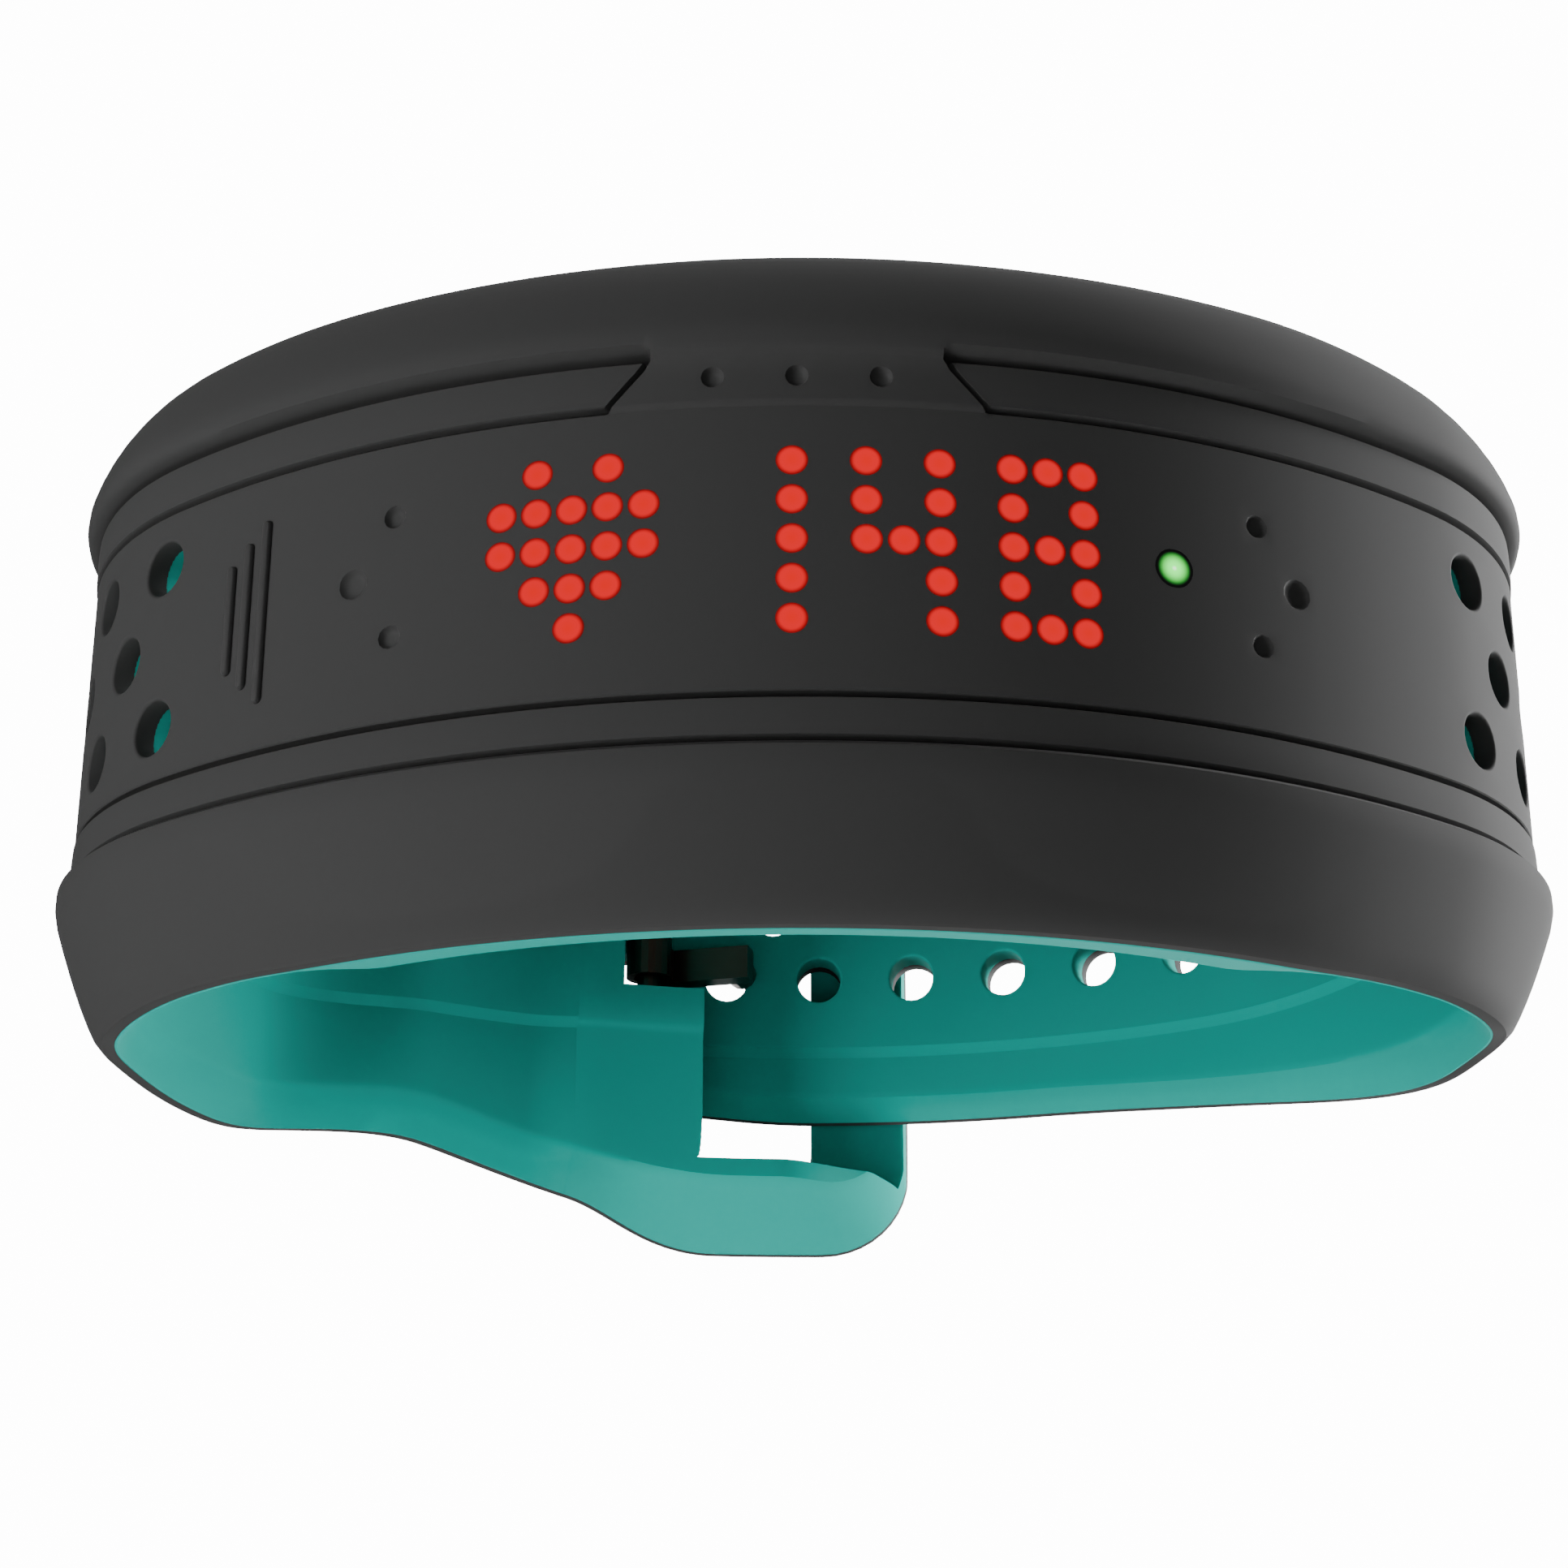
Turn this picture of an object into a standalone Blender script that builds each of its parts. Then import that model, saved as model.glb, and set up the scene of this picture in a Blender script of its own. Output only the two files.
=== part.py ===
"""Heart-rate fitness band: a display pod held in a two-colour strap with a loop and peg clasp.

The display faces -Y, +X is to the right and the wrist runs along Z. Sizes are in millimetres
and are turned into metres when a mesh is made. A place on the band is given as (s, d, z):
s is the distance along the outer surface from the middle of the display (positive to the
right), d is the depth below that surface and z is the height along the wrist.
"""
import math

import bmesh
import bpy
from mathutils import Matrix, Vector

MM = 0.001

# ---- driving dimensions of the ring (mm) ----
HALF_WIDTH = 32.0          # middle of the band to its side
FRONT_REACH = 21.8         # widest line to the face of the display
BACK_REACH = 26.0          # widest line to the back of the band
FRONT_CORNER_R = 16.0      # bend between the display and the side
BACK_CORNER_R = 23.75      # bend between the side and the back

# ---- strap section ----
SKIN = 0.9                 # black outer layer
LAYER_GAP = 0.1            # between two bonded layers
PIECE_GAP = 0.3            # between two pieces that meet end to end
FRONT_HALF_HEIGHT = 14.3
SIDE_HALF_HEIGHT = 12.9
TAIL_HALF_HEIGHT = 10.4
LOOP_HALF_HEIGHT = 17.1
FRONT_THICKNESS = 8.2      # band around the pod
SIDE_THICKNESS = 3.6
STRAP_THICKNESS = 2.6
PANEL_HALF_HEIGHT = 6.05   # smooth zone that holds the display
RAIL_WIDTH = 1.75          # raised line above and below the panel
LIP_RISE = 0.8             # how far the bevel stands proud of the panel
EDGE_DEPTH = 1.7           # how far the bevel falls back at its rim
BACK_EDGE_DEPTH = 0.5
KNEE = 0.8                 # share of the height where a smooth strap starts to round

# ---- lengths along the band ----
FRONT_HALF_LENGTH = 25.9   # the strap hinges are here
POD_HALF_LENGTH = 20.6
TAIL_LENGTH = 21.0         # tail past the middle of the back
STATION = 2.0              # spacing of the sections along the band

# ---- perforations ----
HOLE_DIAMETER = 2.4
HOLE_ROW = 3.6             # rows at +, 0 and - this height
HOLE_PITCH = 5.14
PEG_REACH = 4.121          # the pair that the pegs enter lies this far past the back's middle
HOLES_START = 30.0         # no pair lies nearer the display
LEFT_FIRST_PAIR = 29.3
LEFT_HOLES_END = 56.0
SPARE_PAIRS = 2            # pairs past the pegs

# ---- loop and clasp ----
TAIL_GAP = 0.7             # between the tail and the strap that it lies on
LOOP_GAP = 0.6             # between the tail and the outer bar
LOOP_BAR = 2.6             # thickness of the outer bar
LOOP_CORNER = 4.2
WINDOW_HALF_HEIGHT = 14.0
WINDOW_CORNER = 2.6
BOSS = 0.7                 # the strap is thicker where it holds the pin
NOTCH_HALF_HEIGHT = 5.4
PIN_DIAMETER = 1.2
PIN_BORE = 1.5
PIN_HALF_LENGTH = 7.0
SLEEVE_DIAMETER = 2.3
SLEEVE_HALF_LENGTH = 4.6
PIN_DEPTH = 5.2            # pin axis below the outer surface
ARM_WIDTH = 1.7
ARM_THICKNESS = 1.1
ARM_CLEAR = 0.3            # from the strap when latched
PEG_DIAMETER = 1.5
PEG_ENTRY = 1.0            # how far a peg enters its hole
PEG_OFFSET = 0.36          # the strap's pull holds the pegs to one side
REST_OPEN = math.radians(21.0)

# ---- pod ----
POD_HALF_HEIGHT = 9.1
POD_GAP = 0.25
POD_WALL = 1.0
SHELL_CLEAR = 0.079        # from the skin to the shell at its upper and lower edge
COVER_DEPTH = 8.2
COVER_THICKNESS = 1.1
FLAT_HALF_WIDTH = 8.6      # flat wrist face of the cover
FLAT_HALF_HEIGHT = 6.4
FLAT_RISE = 1.5            # above the curved cover
LED_PITCH_S = 1.385
LED_PITCH_Z = 1.6
LED_SIZE = 0.9
LED_RISE = 0.4
LED_COLUMNS = 17
LED_ROWS = 5
LED_CENTRE_S = -0.6
BOARD = 0.6                # thickness of a circuit board
MOTOR_RADIUS = 1.6         # vibration motor

# ---- ring geometry worked out from the driving dimensions ----


def arc_radius(reach, corner):
    """Radius of the arc through (0, reach) that runs smoothly into the corner arc."""
    inset = HALF_WIDTH - corner
    return (inset ** 2 + reach ** 2 - corner ** 2) / (2.0 * (reach - corner))


FRONT_R = arc_radius(FRONT_REACH, FRONT_CORNER_R)
BACK_R = arc_radius(BACK_REACH, BACK_CORNER_R)
FRONT_CY = FRONT_R - FRONT_REACH
BACK_CY = BACK_REACH - BACK_R
FRONT_CX = HALF_WIDTH - FRONT_CORNER_R
BACK_CX = HALF_WIDTH - BACK_CORNER_R
FRONT_ANGLE = math.atan2(FRONT_CX, FRONT_CY)
BACK_ANGLE = math.atan2(BACK_CX, -BACK_CY)
END_A = FRONT_R * FRONT_ANGLE
END_B = END_A + FRONT_CORNER_R * (math.pi / 2 - FRONT_ANGLE)
END_C = END_B + BACK_CORNER_R * (math.pi / 2 - BACK_ANGLE)
HALF_LENGTH = END_C + BACK_R * BACK_ANGLE
TAIL_END = HALF_LENGTH + TAIL_LENGTH
STEP_IN = STRAP_THICKNESS + TAIL_GAP

# ---- places on the left strap, from the middle of the back ----
STEP_START = HALF_LENGTH - 32.46     # the strap starts to step in under the tail
FLARE_START = HALF_LENGTH - 26.46    # it starts to widen into the loop
SMOOTH_START = STATION * round((HALF_LENGTH - 24.46) / STATION)   # no rails past here
BOSS_START = HALF_LENGTH - 16.46
CHANNEL_START = HALF_LENGTH - 12.56  # the tail's channel in the loop starts here
LOOP_RAMP_START = HALF_LENGTH - 12.16
BOSS_END = HALF_LENGTH - 11.96
LOOP_SKIN_START = HALF_LENGTH - 11.86
NOTCH_START = HALF_LENGTH - 10.76
PIN_S = HALF_LENGTH - 8.96
WINDOW_START = HALF_LENGTH - 5.86
LOOP_RAMP_END = HALF_LENGTH - 5.46
FLARE_END = HALF_LENGTH - 4.46
TAPER_START = HALF_LENGTH - 1.46
WINDOW_END = HALF_LENGTH + 0.54
LOOP_END = HALF_LENGTH + 5.29

# ---- perforations, counted back from the pair that holds the pegs ----
PEG_S = HALF_LENGTH + PEG_REACH
PEG_PAIR = int((PEG_S - HOLES_START) / HOLE_PITCH)
FIRST_PAIR = PEG_S - PEG_PAIR * HOLE_PITCH
TAIL_PAIRS = PEG_PAIR + 1 + SPARE_PAIRS
LEFT_PAIRS = int((LEFT_HOLES_END - LEFT_FIRST_PAIR) / HOLE_PITCH) + 1
# the origin is the middle of the whole object, from the lips in front to the loop behind
CENTRE_Y = 0.5 * (BACK_REACH + LOOP_GAP + LOOP_BAR - FRONT_REACH - LIP_RISE)


def plan(s, d=0.0):
    """Plan position (x, y) at distance s along the band and depth d below its surface."""
    side = 1.0 if s >= 0 else -1.0
    run = abs(s)
    if run > HALF_LENGTH:
        run = 2.0 * HALF_LENGTH - run
        side = -side
    if run < END_A:
        angle = run / FRONT_R
        x = (FRONT_R - d) * math.sin(angle)
        y = FRONT_CY - (FRONT_R - d) * math.cos(angle)
    elif run < END_B:
        angle = (run - END_A) / FRONT_CORNER_R - (math.pi / 2 - FRONT_ANGLE)
        x = FRONT_CX + (FRONT_CORNER_R - d) * math.cos(angle)
        y = (FRONT_CORNER_R - d) * math.sin(angle)
    elif run < END_C:
        angle = (run - END_B) / BACK_CORNER_R
        x = BACK_CX + (BACK_CORNER_R - d) * math.cos(angle)
        y = (BACK_CORNER_R - d) * math.sin(angle)
    else:
        angle = (HALF_LENGTH - run) / BACK_R
        x = (BACK_R - d) * math.sin(angle)
        y = BACK_CY + (BACK_R - d) * math.cos(angle)
    return side * x, y - CENTRE_Y


def outward(s):
    """Unit vector in plan that points away from the wrist at s."""
    x0, y0 = plan(s, 0.0)
    x1, y1 = plan(s, 1.0)
    return Vector((x0 - x1, y0 - y1, 0.0))


def point(s, d, z):
    x, y = plan(s, d)
    return Vector((x, y, z)) * MM


RIM_SLOPE = (EDGE_DEPTH + 0.7 - SKIN) / (FRONT_HALF_HEIGHT - PANEL_HALF_HEIGHT - RAIL_WIDTH - 0.4)
SHELL_DEPTH = SKIN + SHELL_CLEAR + RIM_SLOPE * (POD_HALF_HEIGHT - PANEL_HALF_HEIGHT
                                                - RAIL_WIDTH - 0.4)
FLAT_Y = plan(0.0, COVER_DEPTH + COVER_THICKNESS)[1] + FLAT_RISE


def ease(value, start, end):
    """Smooth step from 0 at start to 1 at end."""
    t = min(1.0, max(0.0, (value - start) / (end - start)))
    return t * t * (3.0 - 2.0 * t)


# ---- how the section changes along the band ----


def relief(s):
    """1 where the rails and lips stand out, 0 where the strap is smooth."""
    return 1.0 - ease(abs(s), 44.0, 62.0)


def half_height_right(s):
    height = FRONT_HALF_HEIGHT
    height += (SIDE_HALF_HEIGHT - 0.5 - FRONT_HALF_HEIGHT) * ease(s, 20.0, 48.0)
    height += (TAIL_HALF_HEIGHT - SIDE_HALF_HEIGHT + 0.5) * ease(s, 46.0, 76.0)
    tip = max(0.0, (s - (TAIL_END - 9.0)) / 9.0)
    return height * math.sqrt(max(0.04, 1.0 - tip * tip))


def half_height_left(s):
    run = abs(s)
    height = FRONT_HALF_HEIGHT
    height += (SIDE_HALF_HEIGHT + 0.2 - FRONT_HALF_HEIGHT) * ease(run, 20.0, 48.0)
    height += (LOOP_HALF_HEIGHT - SIDE_HALF_HEIGHT - 0.2) * ease(run, FLARE_START, FLARE_END)
    corner = max(0.0, (run - (LOOP_END - LOOP_CORNER)) / (LOOP_CORNER + 0.05))
    return height - LOOP_CORNER * (1.0 - math.sqrt(1.0 - corner * corner))


def half_height(s):
    return half_height_right(s) if s >= 0 else half_height_left(s)


def edge_depth(s):
    return BACK_EDGE_DEPTH + (EDGE_DEPTH - BACK_EDGE_DEPTH) * relief(s)


def thickness(s):
    run = abs(s)
    depth = FRONT_THICKNESS
    depth += (SIDE_THICKNESS - FRONT_THICKNESS) * ease(run, POD_HALF_LENGTH + 0.6, 27.5)
    depth += (STRAP_THICKNESS - SIDE_THICKNESS) * ease(run, 50.0, 66.0)
    return depth


def chamfer_height(s):
    """Height of the slope on the wrist side of the band's edge."""
    run = abs(s)
    front = 3.0 - 1.1 * ease(run, POD_HALF_LENGTH, 28.0)
    back = 0.8 if s > 0 else -0.2
    return front - back * ease(run, 46.0, 70.0)


def outer_line(s):
    """Half of the outer outline, from the panel to the rim, as (d, z)."""
    strength = relief(s)
    rim = half_height(s)
    scale = min(1.0, rim / TAIL_HALF_HEIGHT)
    top = PANEL_HALF_HEIGHT + RAIL_WIDTH
    lip = LIP_RISE * strength
    rows = [(0.0, PANEL_HALF_HEIGHT), (-0.1 * strength, PANEL_HALF_HEIGHT + 0.15)]
    rows += [(-0.1 * strength, top), (-lip, top + 0.4)]
    start = rows[-1][1] * scale
    line = [(d, z * scale) for d, z in rows]
    for step in (0.5, 0.85, 1.0):
        d = -lip + (edge_depth(s) + lip) * (1.0 - math.sqrt(1.0 - 0.96 * step * step)) / 0.8
        line.append((d, start + (rim - start) * step))
    return line


def mirror_line(line):
    """The lower half of a section from its upper half, running bottom to top."""
    return [(d, -z) for d, z in reversed(line)] + line


def skin_section(s):
    line = outer_line(s)
    rim_d, rim_z = line[-1]
    top = min(line[3][1], rim_z - 0.2)
    inner = [(SKIN, top), (rim_d + 0.7, rim_z)]
    return mirror_line(line) + list(reversed(mirror_line(inner)))


def core_section(s):
    line = outer_line(s)
    rim_d, rim_z = line[-1]
    top = min(line[3][1], rim_z - 0.2)
    deep = thickness(s)
    slope = min(chamfer_height(s), 0.5 * rim_z)
    outer = [(SKIN + LAYER_GAP, top), (rim_d + 0.7 + LAYER_GAP, rim_z)]
    inner = [(deep, rim_z - slope)]
    if deep > SIDE_THICKNESS + 0.5:
        inner.append((deep - 1.8, rim_z - 0.35 * slope))
    else:
        inner.append((0.5 * (rim_d + 0.8 + deep), rim_z - 0.5 * slope))
    return mirror_line(outer) + list(reversed(mirror_line(inner)))


# ---- left strap: it steps in under the tail and carries the loop ----


def step_in(s):
    return STEP_IN * ease(abs(s), STEP_START, HALF_LENGTH - TAIL_LENGTH - 1.0)


def left_outer(s):
    """Depth of the left strap's outer face."""
    rise = STEP_IN + LOOP_GAP + LOOP_BAR
    return step_in(s) - rise * ease(abs(s), LOOP_RAMP_START, LOOP_RAMP_END)


def left_inner(s):
    run = abs(s)
    depth = step_in(s) + thickness(s)
    depth += BOSS * ease(run, BOSS_START, BOSS_END)
    return depth - (BOSS + 2.6) * ease(run, TAPER_START, LOOP_END)


def shift(section, offset):
    return [(d + offset, z) for d, z in section]


def left_skin_section(s):
    if abs(s) < SMOOTH_START:
        return shift(skin_section(s), step_in(s))
    if abs(s) > CHANNEL_START:
        return strip_section(STEP_IN, WINDOW_HALF_HEIGHT - PIECE_GAP, 0.0)
    return strip_section(step_in(s), half_height(s), BACK_EDGE_DEPTH)


def strip_section(d_out, high, rim):
    """A smooth layer with as many corners as skin_section has."""
    outer = []
    for part in (0.3, 0.45, 0.6, KNEE, 0.87, 0.94, 1.0):
        fall = rim * max(0.0, part - KNEE) / (1.0 - KNEE)
        outer.append((d_out + fall, part * high))
    inner = [(d_out + SKIN, KNEE * high), (d_out + SKIN + rim, high)]
    return mirror_line(outer) + list(reversed(mirror_line(inner)))


def left_core_section(s):
    rim = half_height(s)
    outer_d = left_outer(s) + SKIN + LAYER_GAP
    fall = edge_depth(s) - 0.2 if abs(s) < SMOOTH_START else BACK_EDGE_DEPTH
    deep = left_inner(s)
    slope = chamfer_height(s)
    top = min(PANEL_HALF_HEIGHT + RAIL_WIDTH + 0.4, rim - 0.2)
    if abs(s) > SMOOTH_START + 0.5 * STATION:
        top = KNEE * rim
    outer = [(outer_d, top), (outer_d + fall, rim)]
    inner = [(deep, rim - slope), (0.5 * (outer_d + fall + deep), rim - 0.5 * slope)]
    return mirror_line(outer) + list(reversed(mirror_line(inner)))


def loop_skin_section(s):
    return strip_section(left_outer(s), half_height(s), BACK_EDGE_DEPTH)


# ---- mesh helpers ----


def material(name, colour, roughness, metallic=0.0, glow=0.0):
    found = bpy.data.materials.get(name)
    if found:
        return found
    made = bpy.data.materials.new(name)
    made.use_nodes = True
    shader = made.node_tree.nodes["Principled BSDF"]
    shader.inputs["Base Color"].default_value = (*colour, 1.0)
    shader.inputs["Roughness"].default_value = roughness
    shader.inputs["Metallic"].default_value = metallic
    if glow:
        shader.inputs["Emission Color"].default_value = (*colour, 1.0)
        shader.inputs["Emission Strength"].default_value = glow
    made.diffuse_color = (*colour, 1.0)
    return made


def finish(name, mesh_builder, shade):
    """Turn a bmesh into a named object with outward faces."""
    bmesh.ops.recalc_face_normals(mesh_builder, faces=mesh_builder.faces)
    mesh = bpy.data.meshes.new(name)
    mesh_builder.to_mesh(mesh)
    mesh_builder.free()
    made = bpy.data.objects.new(name, mesh)
    bpy.context.scene.collection.objects.link(made)
    mesh.materials.append(shade)
    return made


def stations(start, end, extra=()):
    """Places along the band on one common grid, so that layers stay parallel."""
    low, high = min(start, end), max(start, end)
    places = {round(low, 4), round(high, 4)}
    k = math.ceil((low + 0.2) / STATION)
    while k * STATION < high - 0.2:
        places.add(round(k * STATION, 4))
        k += 1
    for value in extra:
        if low < value < high:
            places.add(round(value, 4))
    return sorted(places)


def sweep(name, places, section, shade):
    """A solid through the section outlines at each place along the band."""
    builder = bmesh.new()
    rings = []
    for s in places:
        rings.append([builder.verts.new(point(s, d, z)) for d, z in section(s)])
    for first, second in zip(rings, rings[1:]):
        for k in range(len(first)):
            m = (k + 1) % len(first)
            builder.faces.new((first[k], first[m], second[m], second[k]))
    builder.faces.new(rings[0])
    builder.faces.new(rings[-1])
    return finish(name, builder, shade)


def block(name, s_range, z_range, d_range, shade, bevel=0.0):
    """A curved block that follows the band."""
    s0, s1 = s_range
    z0, z1 = z_range
    d0, d1 = d_range
    made = sweep(name, stations(s0, s1), lambda s: [(d0, z0), (d0, z1), (d1, z1), (d1, z0)],
                 shade)
    if bevel:
        edge = made.modifiers.new("edge", "BEVEL")
        edge.width = bevel * MM
        edge.segments = 2
        edge.limit_method = "ANGLE"
    return made


def cylinder(name, centre, axis, radius, length, shade, segments=16):
    """A closed cylinder centred on a point in metres."""
    builder = bmesh.new()
    bmesh.ops.create_cone(builder, cap_ends=True, segments=segments, radius1=radius * MM,
                          radius2=radius * MM, depth=length * MM)
    turn = Vector(axis).to_track_quat("Z", "Y").to_matrix().to_4x4()
    bmesh.ops.transform(builder, matrix=Matrix.Translation(centre) @ turn,
                        verts=builder.verts)
    return finish(name, builder, shade)


def box(name, centre, size, turn, shade):
    """A box in millimetres, turned about Z and centred on a point in metres."""
    builder = bmesh.new()
    bmesh.ops.create_cube(builder, size=1.0)
    scale = Matrix.Diagonal((size[0] * MM, size[1] * MM, size[2] * MM, 1.0))
    place = Matrix.Translation(centre) @ Matrix.Rotation(turn, 4, "Z") @ scale
    bmesh.ops.transform(builder, matrix=place, verts=builder.verts)
    return finish(name, builder, shade)


def radial_post(name, s, z, d_range, radius, shade, segments=16):
    """A cylinder that points straight out of the band at (s, z)."""
    d0, d1 = d_range
    centre = point(s, 0.5 * (d0 + d1), z)
    return cylinder(name, centre, outward(s), radius, abs(d1 - d0), shade, segments)


def as_cutter(made):
    made.hide_render = True
    made.display_type = "WIRE"
    return made


def merge(name, pieces, shade):
    """Join separate closed meshes into one object."""
    builder = bmesh.new()
    for piece in pieces:
        builder.from_mesh(piece.data)
        bpy.data.objects.remove(piece)
    return finish(name, builder, shade)


def boolean(made, tool, operation="DIFFERENCE"):
    step = made.modifiers.new(tool.name, "BOOLEAN")
    step.operation = operation
    step.object = as_cutter(tool)
    return made


def turned(builder_object, pivot, angle):
    """Turn a finished mesh about a line along Z through pivot."""
    spin = Matrix.Translation(pivot) @ Matrix.Rotation(angle, 4, "Z")
    spin = spin @ Matrix.Translation(-pivot)
    builder_object.data.transform(spin)
    return builder_object


def set_origin(made, origin):
    """Move an object's origin to a joint's axis without moving its mesh."""
    made.data.transform(Matrix.Translation(-origin))
    made.location = origin


# ---- materials ----

BLACK = ("black_silicone", (0.018, 0.018, 0.018), 0.5)
TEAL = ("teal_silicone", (0.004, 0.26, 0.22), 0.55)
DARK_METAL = ("dark_metal", (0.05, 0.035, 0.03), 0.35, 1.0)
SMOKE = ("smoked_plastic", (0.012, 0.012, 0.013), 0.3)
COVER = ("cover_plastic", (0.03, 0.03, 0.032), 0.4)
GASKET = ("gasket_rubber", (0.02, 0.02, 0.02), 0.8)
GREEN_BOARD = ("board_green", (0.01, 0.10, 0.04), 0.45)
AMBER = ("flex_amber", (0.45, 0.16, 0.02), 0.4)
CHIP = ("chip_black", (0.015, 0.015, 0.016), 0.4)
FOIL = ("cell_foil", (0.6, 0.6, 0.62), 0.35, 0.8)
STEEL = ("steel", (0.6, 0.6, 0.6), 0.25, 1.0)
GOLD = ("gold_contact", (0.83, 0.6, 0.2), 0.25, 1.0)
LENS = ("sensor_glass", (0.03, 0.03, 0.035), 0.08)
GREEN_LED = ("green_led", (0.05, 0.9, 0.15), 0.3, 0.0, 1.0)
RED_LED = ("led_red", (0.9, 0.01, 0.015), 0.35, 0.0, 1.0)
DIFFUSER = ("diffuser_film", (0.5, 0.5, 0.5), 0.5)


# ---- the band ----


def hole_places(side, pairs):
    """(s, z) of every perforation on one strap."""
    places = []
    first = FIRST_PAIR if side > 0 else LEFT_FIRST_PAIR
    for k in range(pairs):
        s = first + k * HOLE_PITCH
        places += [(side * s, HOLE_ROW), (side * s, -HOLE_ROW)]
        if k < pairs - 1:
            places.append((side * (s + 0.5 * HOLE_PITCH), 0.0))
    return places


def hole_cutter(name, places):
    posts = []
    for s, z in places:
        offset = step_in(s) if s < 0 else 0.0
        posts.append(radial_post("post", s, z, (offset - 3.0, offset + 7.0),
                                 0.5 * HOLE_DIAMETER, material(*BLACK), 12))
    return merge(name, posts, material(*BLACK))


def pocket_cutter():
    """Room for the pod, open on the wrist side and behind the skin."""
    half = POD_HALF_HEIGHT + POD_GAP
    span = POD_HALF_LENGTH + POD_GAP
    return block("pocket_cutter", (-span, span), (-half, half),
                 (SKIN - 0.4, FRONT_THICKNESS + 3.0), material(*TEAL))


def build_band_front():
    reach = FRONT_HALF_LENGTH - 0.5 * PIECE_GAP
    places = stations(-reach, reach)
    core = sweep("band_front_core", places, core_section, material(*TEAL))
    boolean(core, pocket_cutter())
    sweep("band_front_skin", places, skin_section, material(*BLACK))


def build_right_strap():
    start = FRONT_HALF_LENGTH + 0.5 * PIECE_GAP
    places = stations(start, TAIL_END, extra=(TAIL_END - 0.5, TAIL_END - 2.0))
    core = sweep("right_strap_core", places, core_section, material(*TEAL))
    skin = sweep("right_strap_skin", places, skin_section, material(*BLACK))
    holes = hole_places(1, TAIL_PAIRS)
    boolean(core, hole_cutter("right_hole_cutter", holes))
    boolean(skin, hole_cutter("right_skin_hole_cutter", holes))


def prism_cutter(name, outline, half, round_places):
    """A tall cutter from (run, depth) corners on the left strap, round where it ends."""
    builder = bmesh.new()
    rings = []
    for z in (-half, half):
        ring = []
        for (run, d), (next_run, next_d) in zip(outline, outline[1:] + outline[:1]):
            count = max(1, round(abs(next_run - run) / STATION))
            for k in range(count):
                at = k / count
                spot = point(-(run + (next_run - run) * at), d + (next_d - d) * at, z)
                ring.append(builder.verts.new(spot))
        rings.append(ring)
    for k in range(len(rings[0])):
        m = (k + 1) % len(rings[0])
        builder.faces.new((rings[0][k], rings[0][m], rings[1][m], rings[1][k]))
    builder.faces.new(rings[0])
    builder.faces.new(rings[1])
    ends = [point(-run, d, z) for run, d in round_places for z in (-half, half)]
    edges = []
    for edge in builder.edges:
        spots = [v.co for v in edge.verts]
        on_end = all(min((spot - end).length for end in ends) < 1e-6 for spot in spots)
        if on_end and abs(spots[0].z - spots[1].z) < 1e-9:
            edges.append(edge)
    bmesh.ops.bevel(builder, geom=edges, offset=WINDOW_CORNER * MM, segments=3, profile=0.5,
                    affect="EDGES")
    return finish(name, builder, material(*TEAL))


def tail_cutter(name):
    """Room for the tail: over the strap, out through the window and inside the outer bar."""
    floor = STEP_IN + SKIN + LAYER_GAP + 0.02
    over, under, begin, finish_at = -8.0, 10.0, CHANNEL_START, LOOP_END + 3.0
    outline = [(begin, over), (WINDOW_END, over), (WINDOW_END, -LOOP_GAP),
               (finish_at, -LOOP_GAP), (finish_at, under), (WINDOW_START, under),
               (WINDOW_START, floor), (begin, floor)]
    ends = [(WINDOW_START, floor), (WINDOW_START, under), (WINDOW_END, over),
            (WINDOW_END, -LOOP_GAP)]
    return prism_cutter(name, outline, WINDOW_HALF_HEIGHT, ends)


def loop_skin_cutter(name):
    """The loop's opening in its outer layer."""
    over, under, begin = -9.0, 9.0, CHANNEL_START - 0.9
    outline = [(begin, over), (WINDOW_END, over), (WINDOW_END, under), (begin, under)]
    return prism_cutter(name, outline, WINDOW_HALF_HEIGHT,
                        [(WINDOW_END, over), (WINDOW_END, under)])


def notch_cutter(name):
    half = NOTCH_HALF_HEIGHT
    return block(name, (-WINDOW_START - 0.4, -NOTCH_START), (-half, half), (1.0, 10.0),
                 material(*TEAL))


def build_left_strap():
    start = FRONT_HALF_LENGTH + 0.5 * PIECE_GAP
    bends = tuple(-v for v in (LOOP_RAMP_START, LOOP_SKIN_START, LOOP_RAMP_END, WINDOW_START,
                               WINDOW_END))
    corner = tuple(-(LOOP_END - LOOP_CORNER * f) for f in (0.02, 0.1, 0.25, 0.5))
    holes = hole_places(-1, LEFT_PAIRS)

    core = sweep("left_strap_core", stations(-LOOP_END, -start, extra=bends + corner),
                 left_core_section, material(*TEAL))
    boolean(core, hole_cutter("left_hole_cutter", holes))
    boolean(core, tail_cutter("tail_cutter"))
    boolean(core, notch_cutter("notch_cutter"))
    boolean(core, pin_solid("pin_bore_cutter", PIN_BORE, PIN_HALF_LENGTH + 0.2, TEAL))

    step = (-CHANNEL_START - 0.05, -CHANNEL_START + 0.05)
    skin = sweep("left_strap_skin", stations(-WINDOW_START + 0.3, -start, extra=step),
                 left_skin_section, material(*BLACK))
    boolean(skin, hole_cutter("left_skin_hole_cutter", holes))
    boolean(skin, notch_cutter("skin_notch_cutter"))

    loop = sweep("loop_skin", stations(-LOOP_END, -LOOP_SKIN_START, extra=bends + corner),
                 loop_skin_section, material(*BLACK))
    boolean(loop, loop_skin_cutter("loop_skin_cutter"))


# ---- the clasp ----


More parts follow.
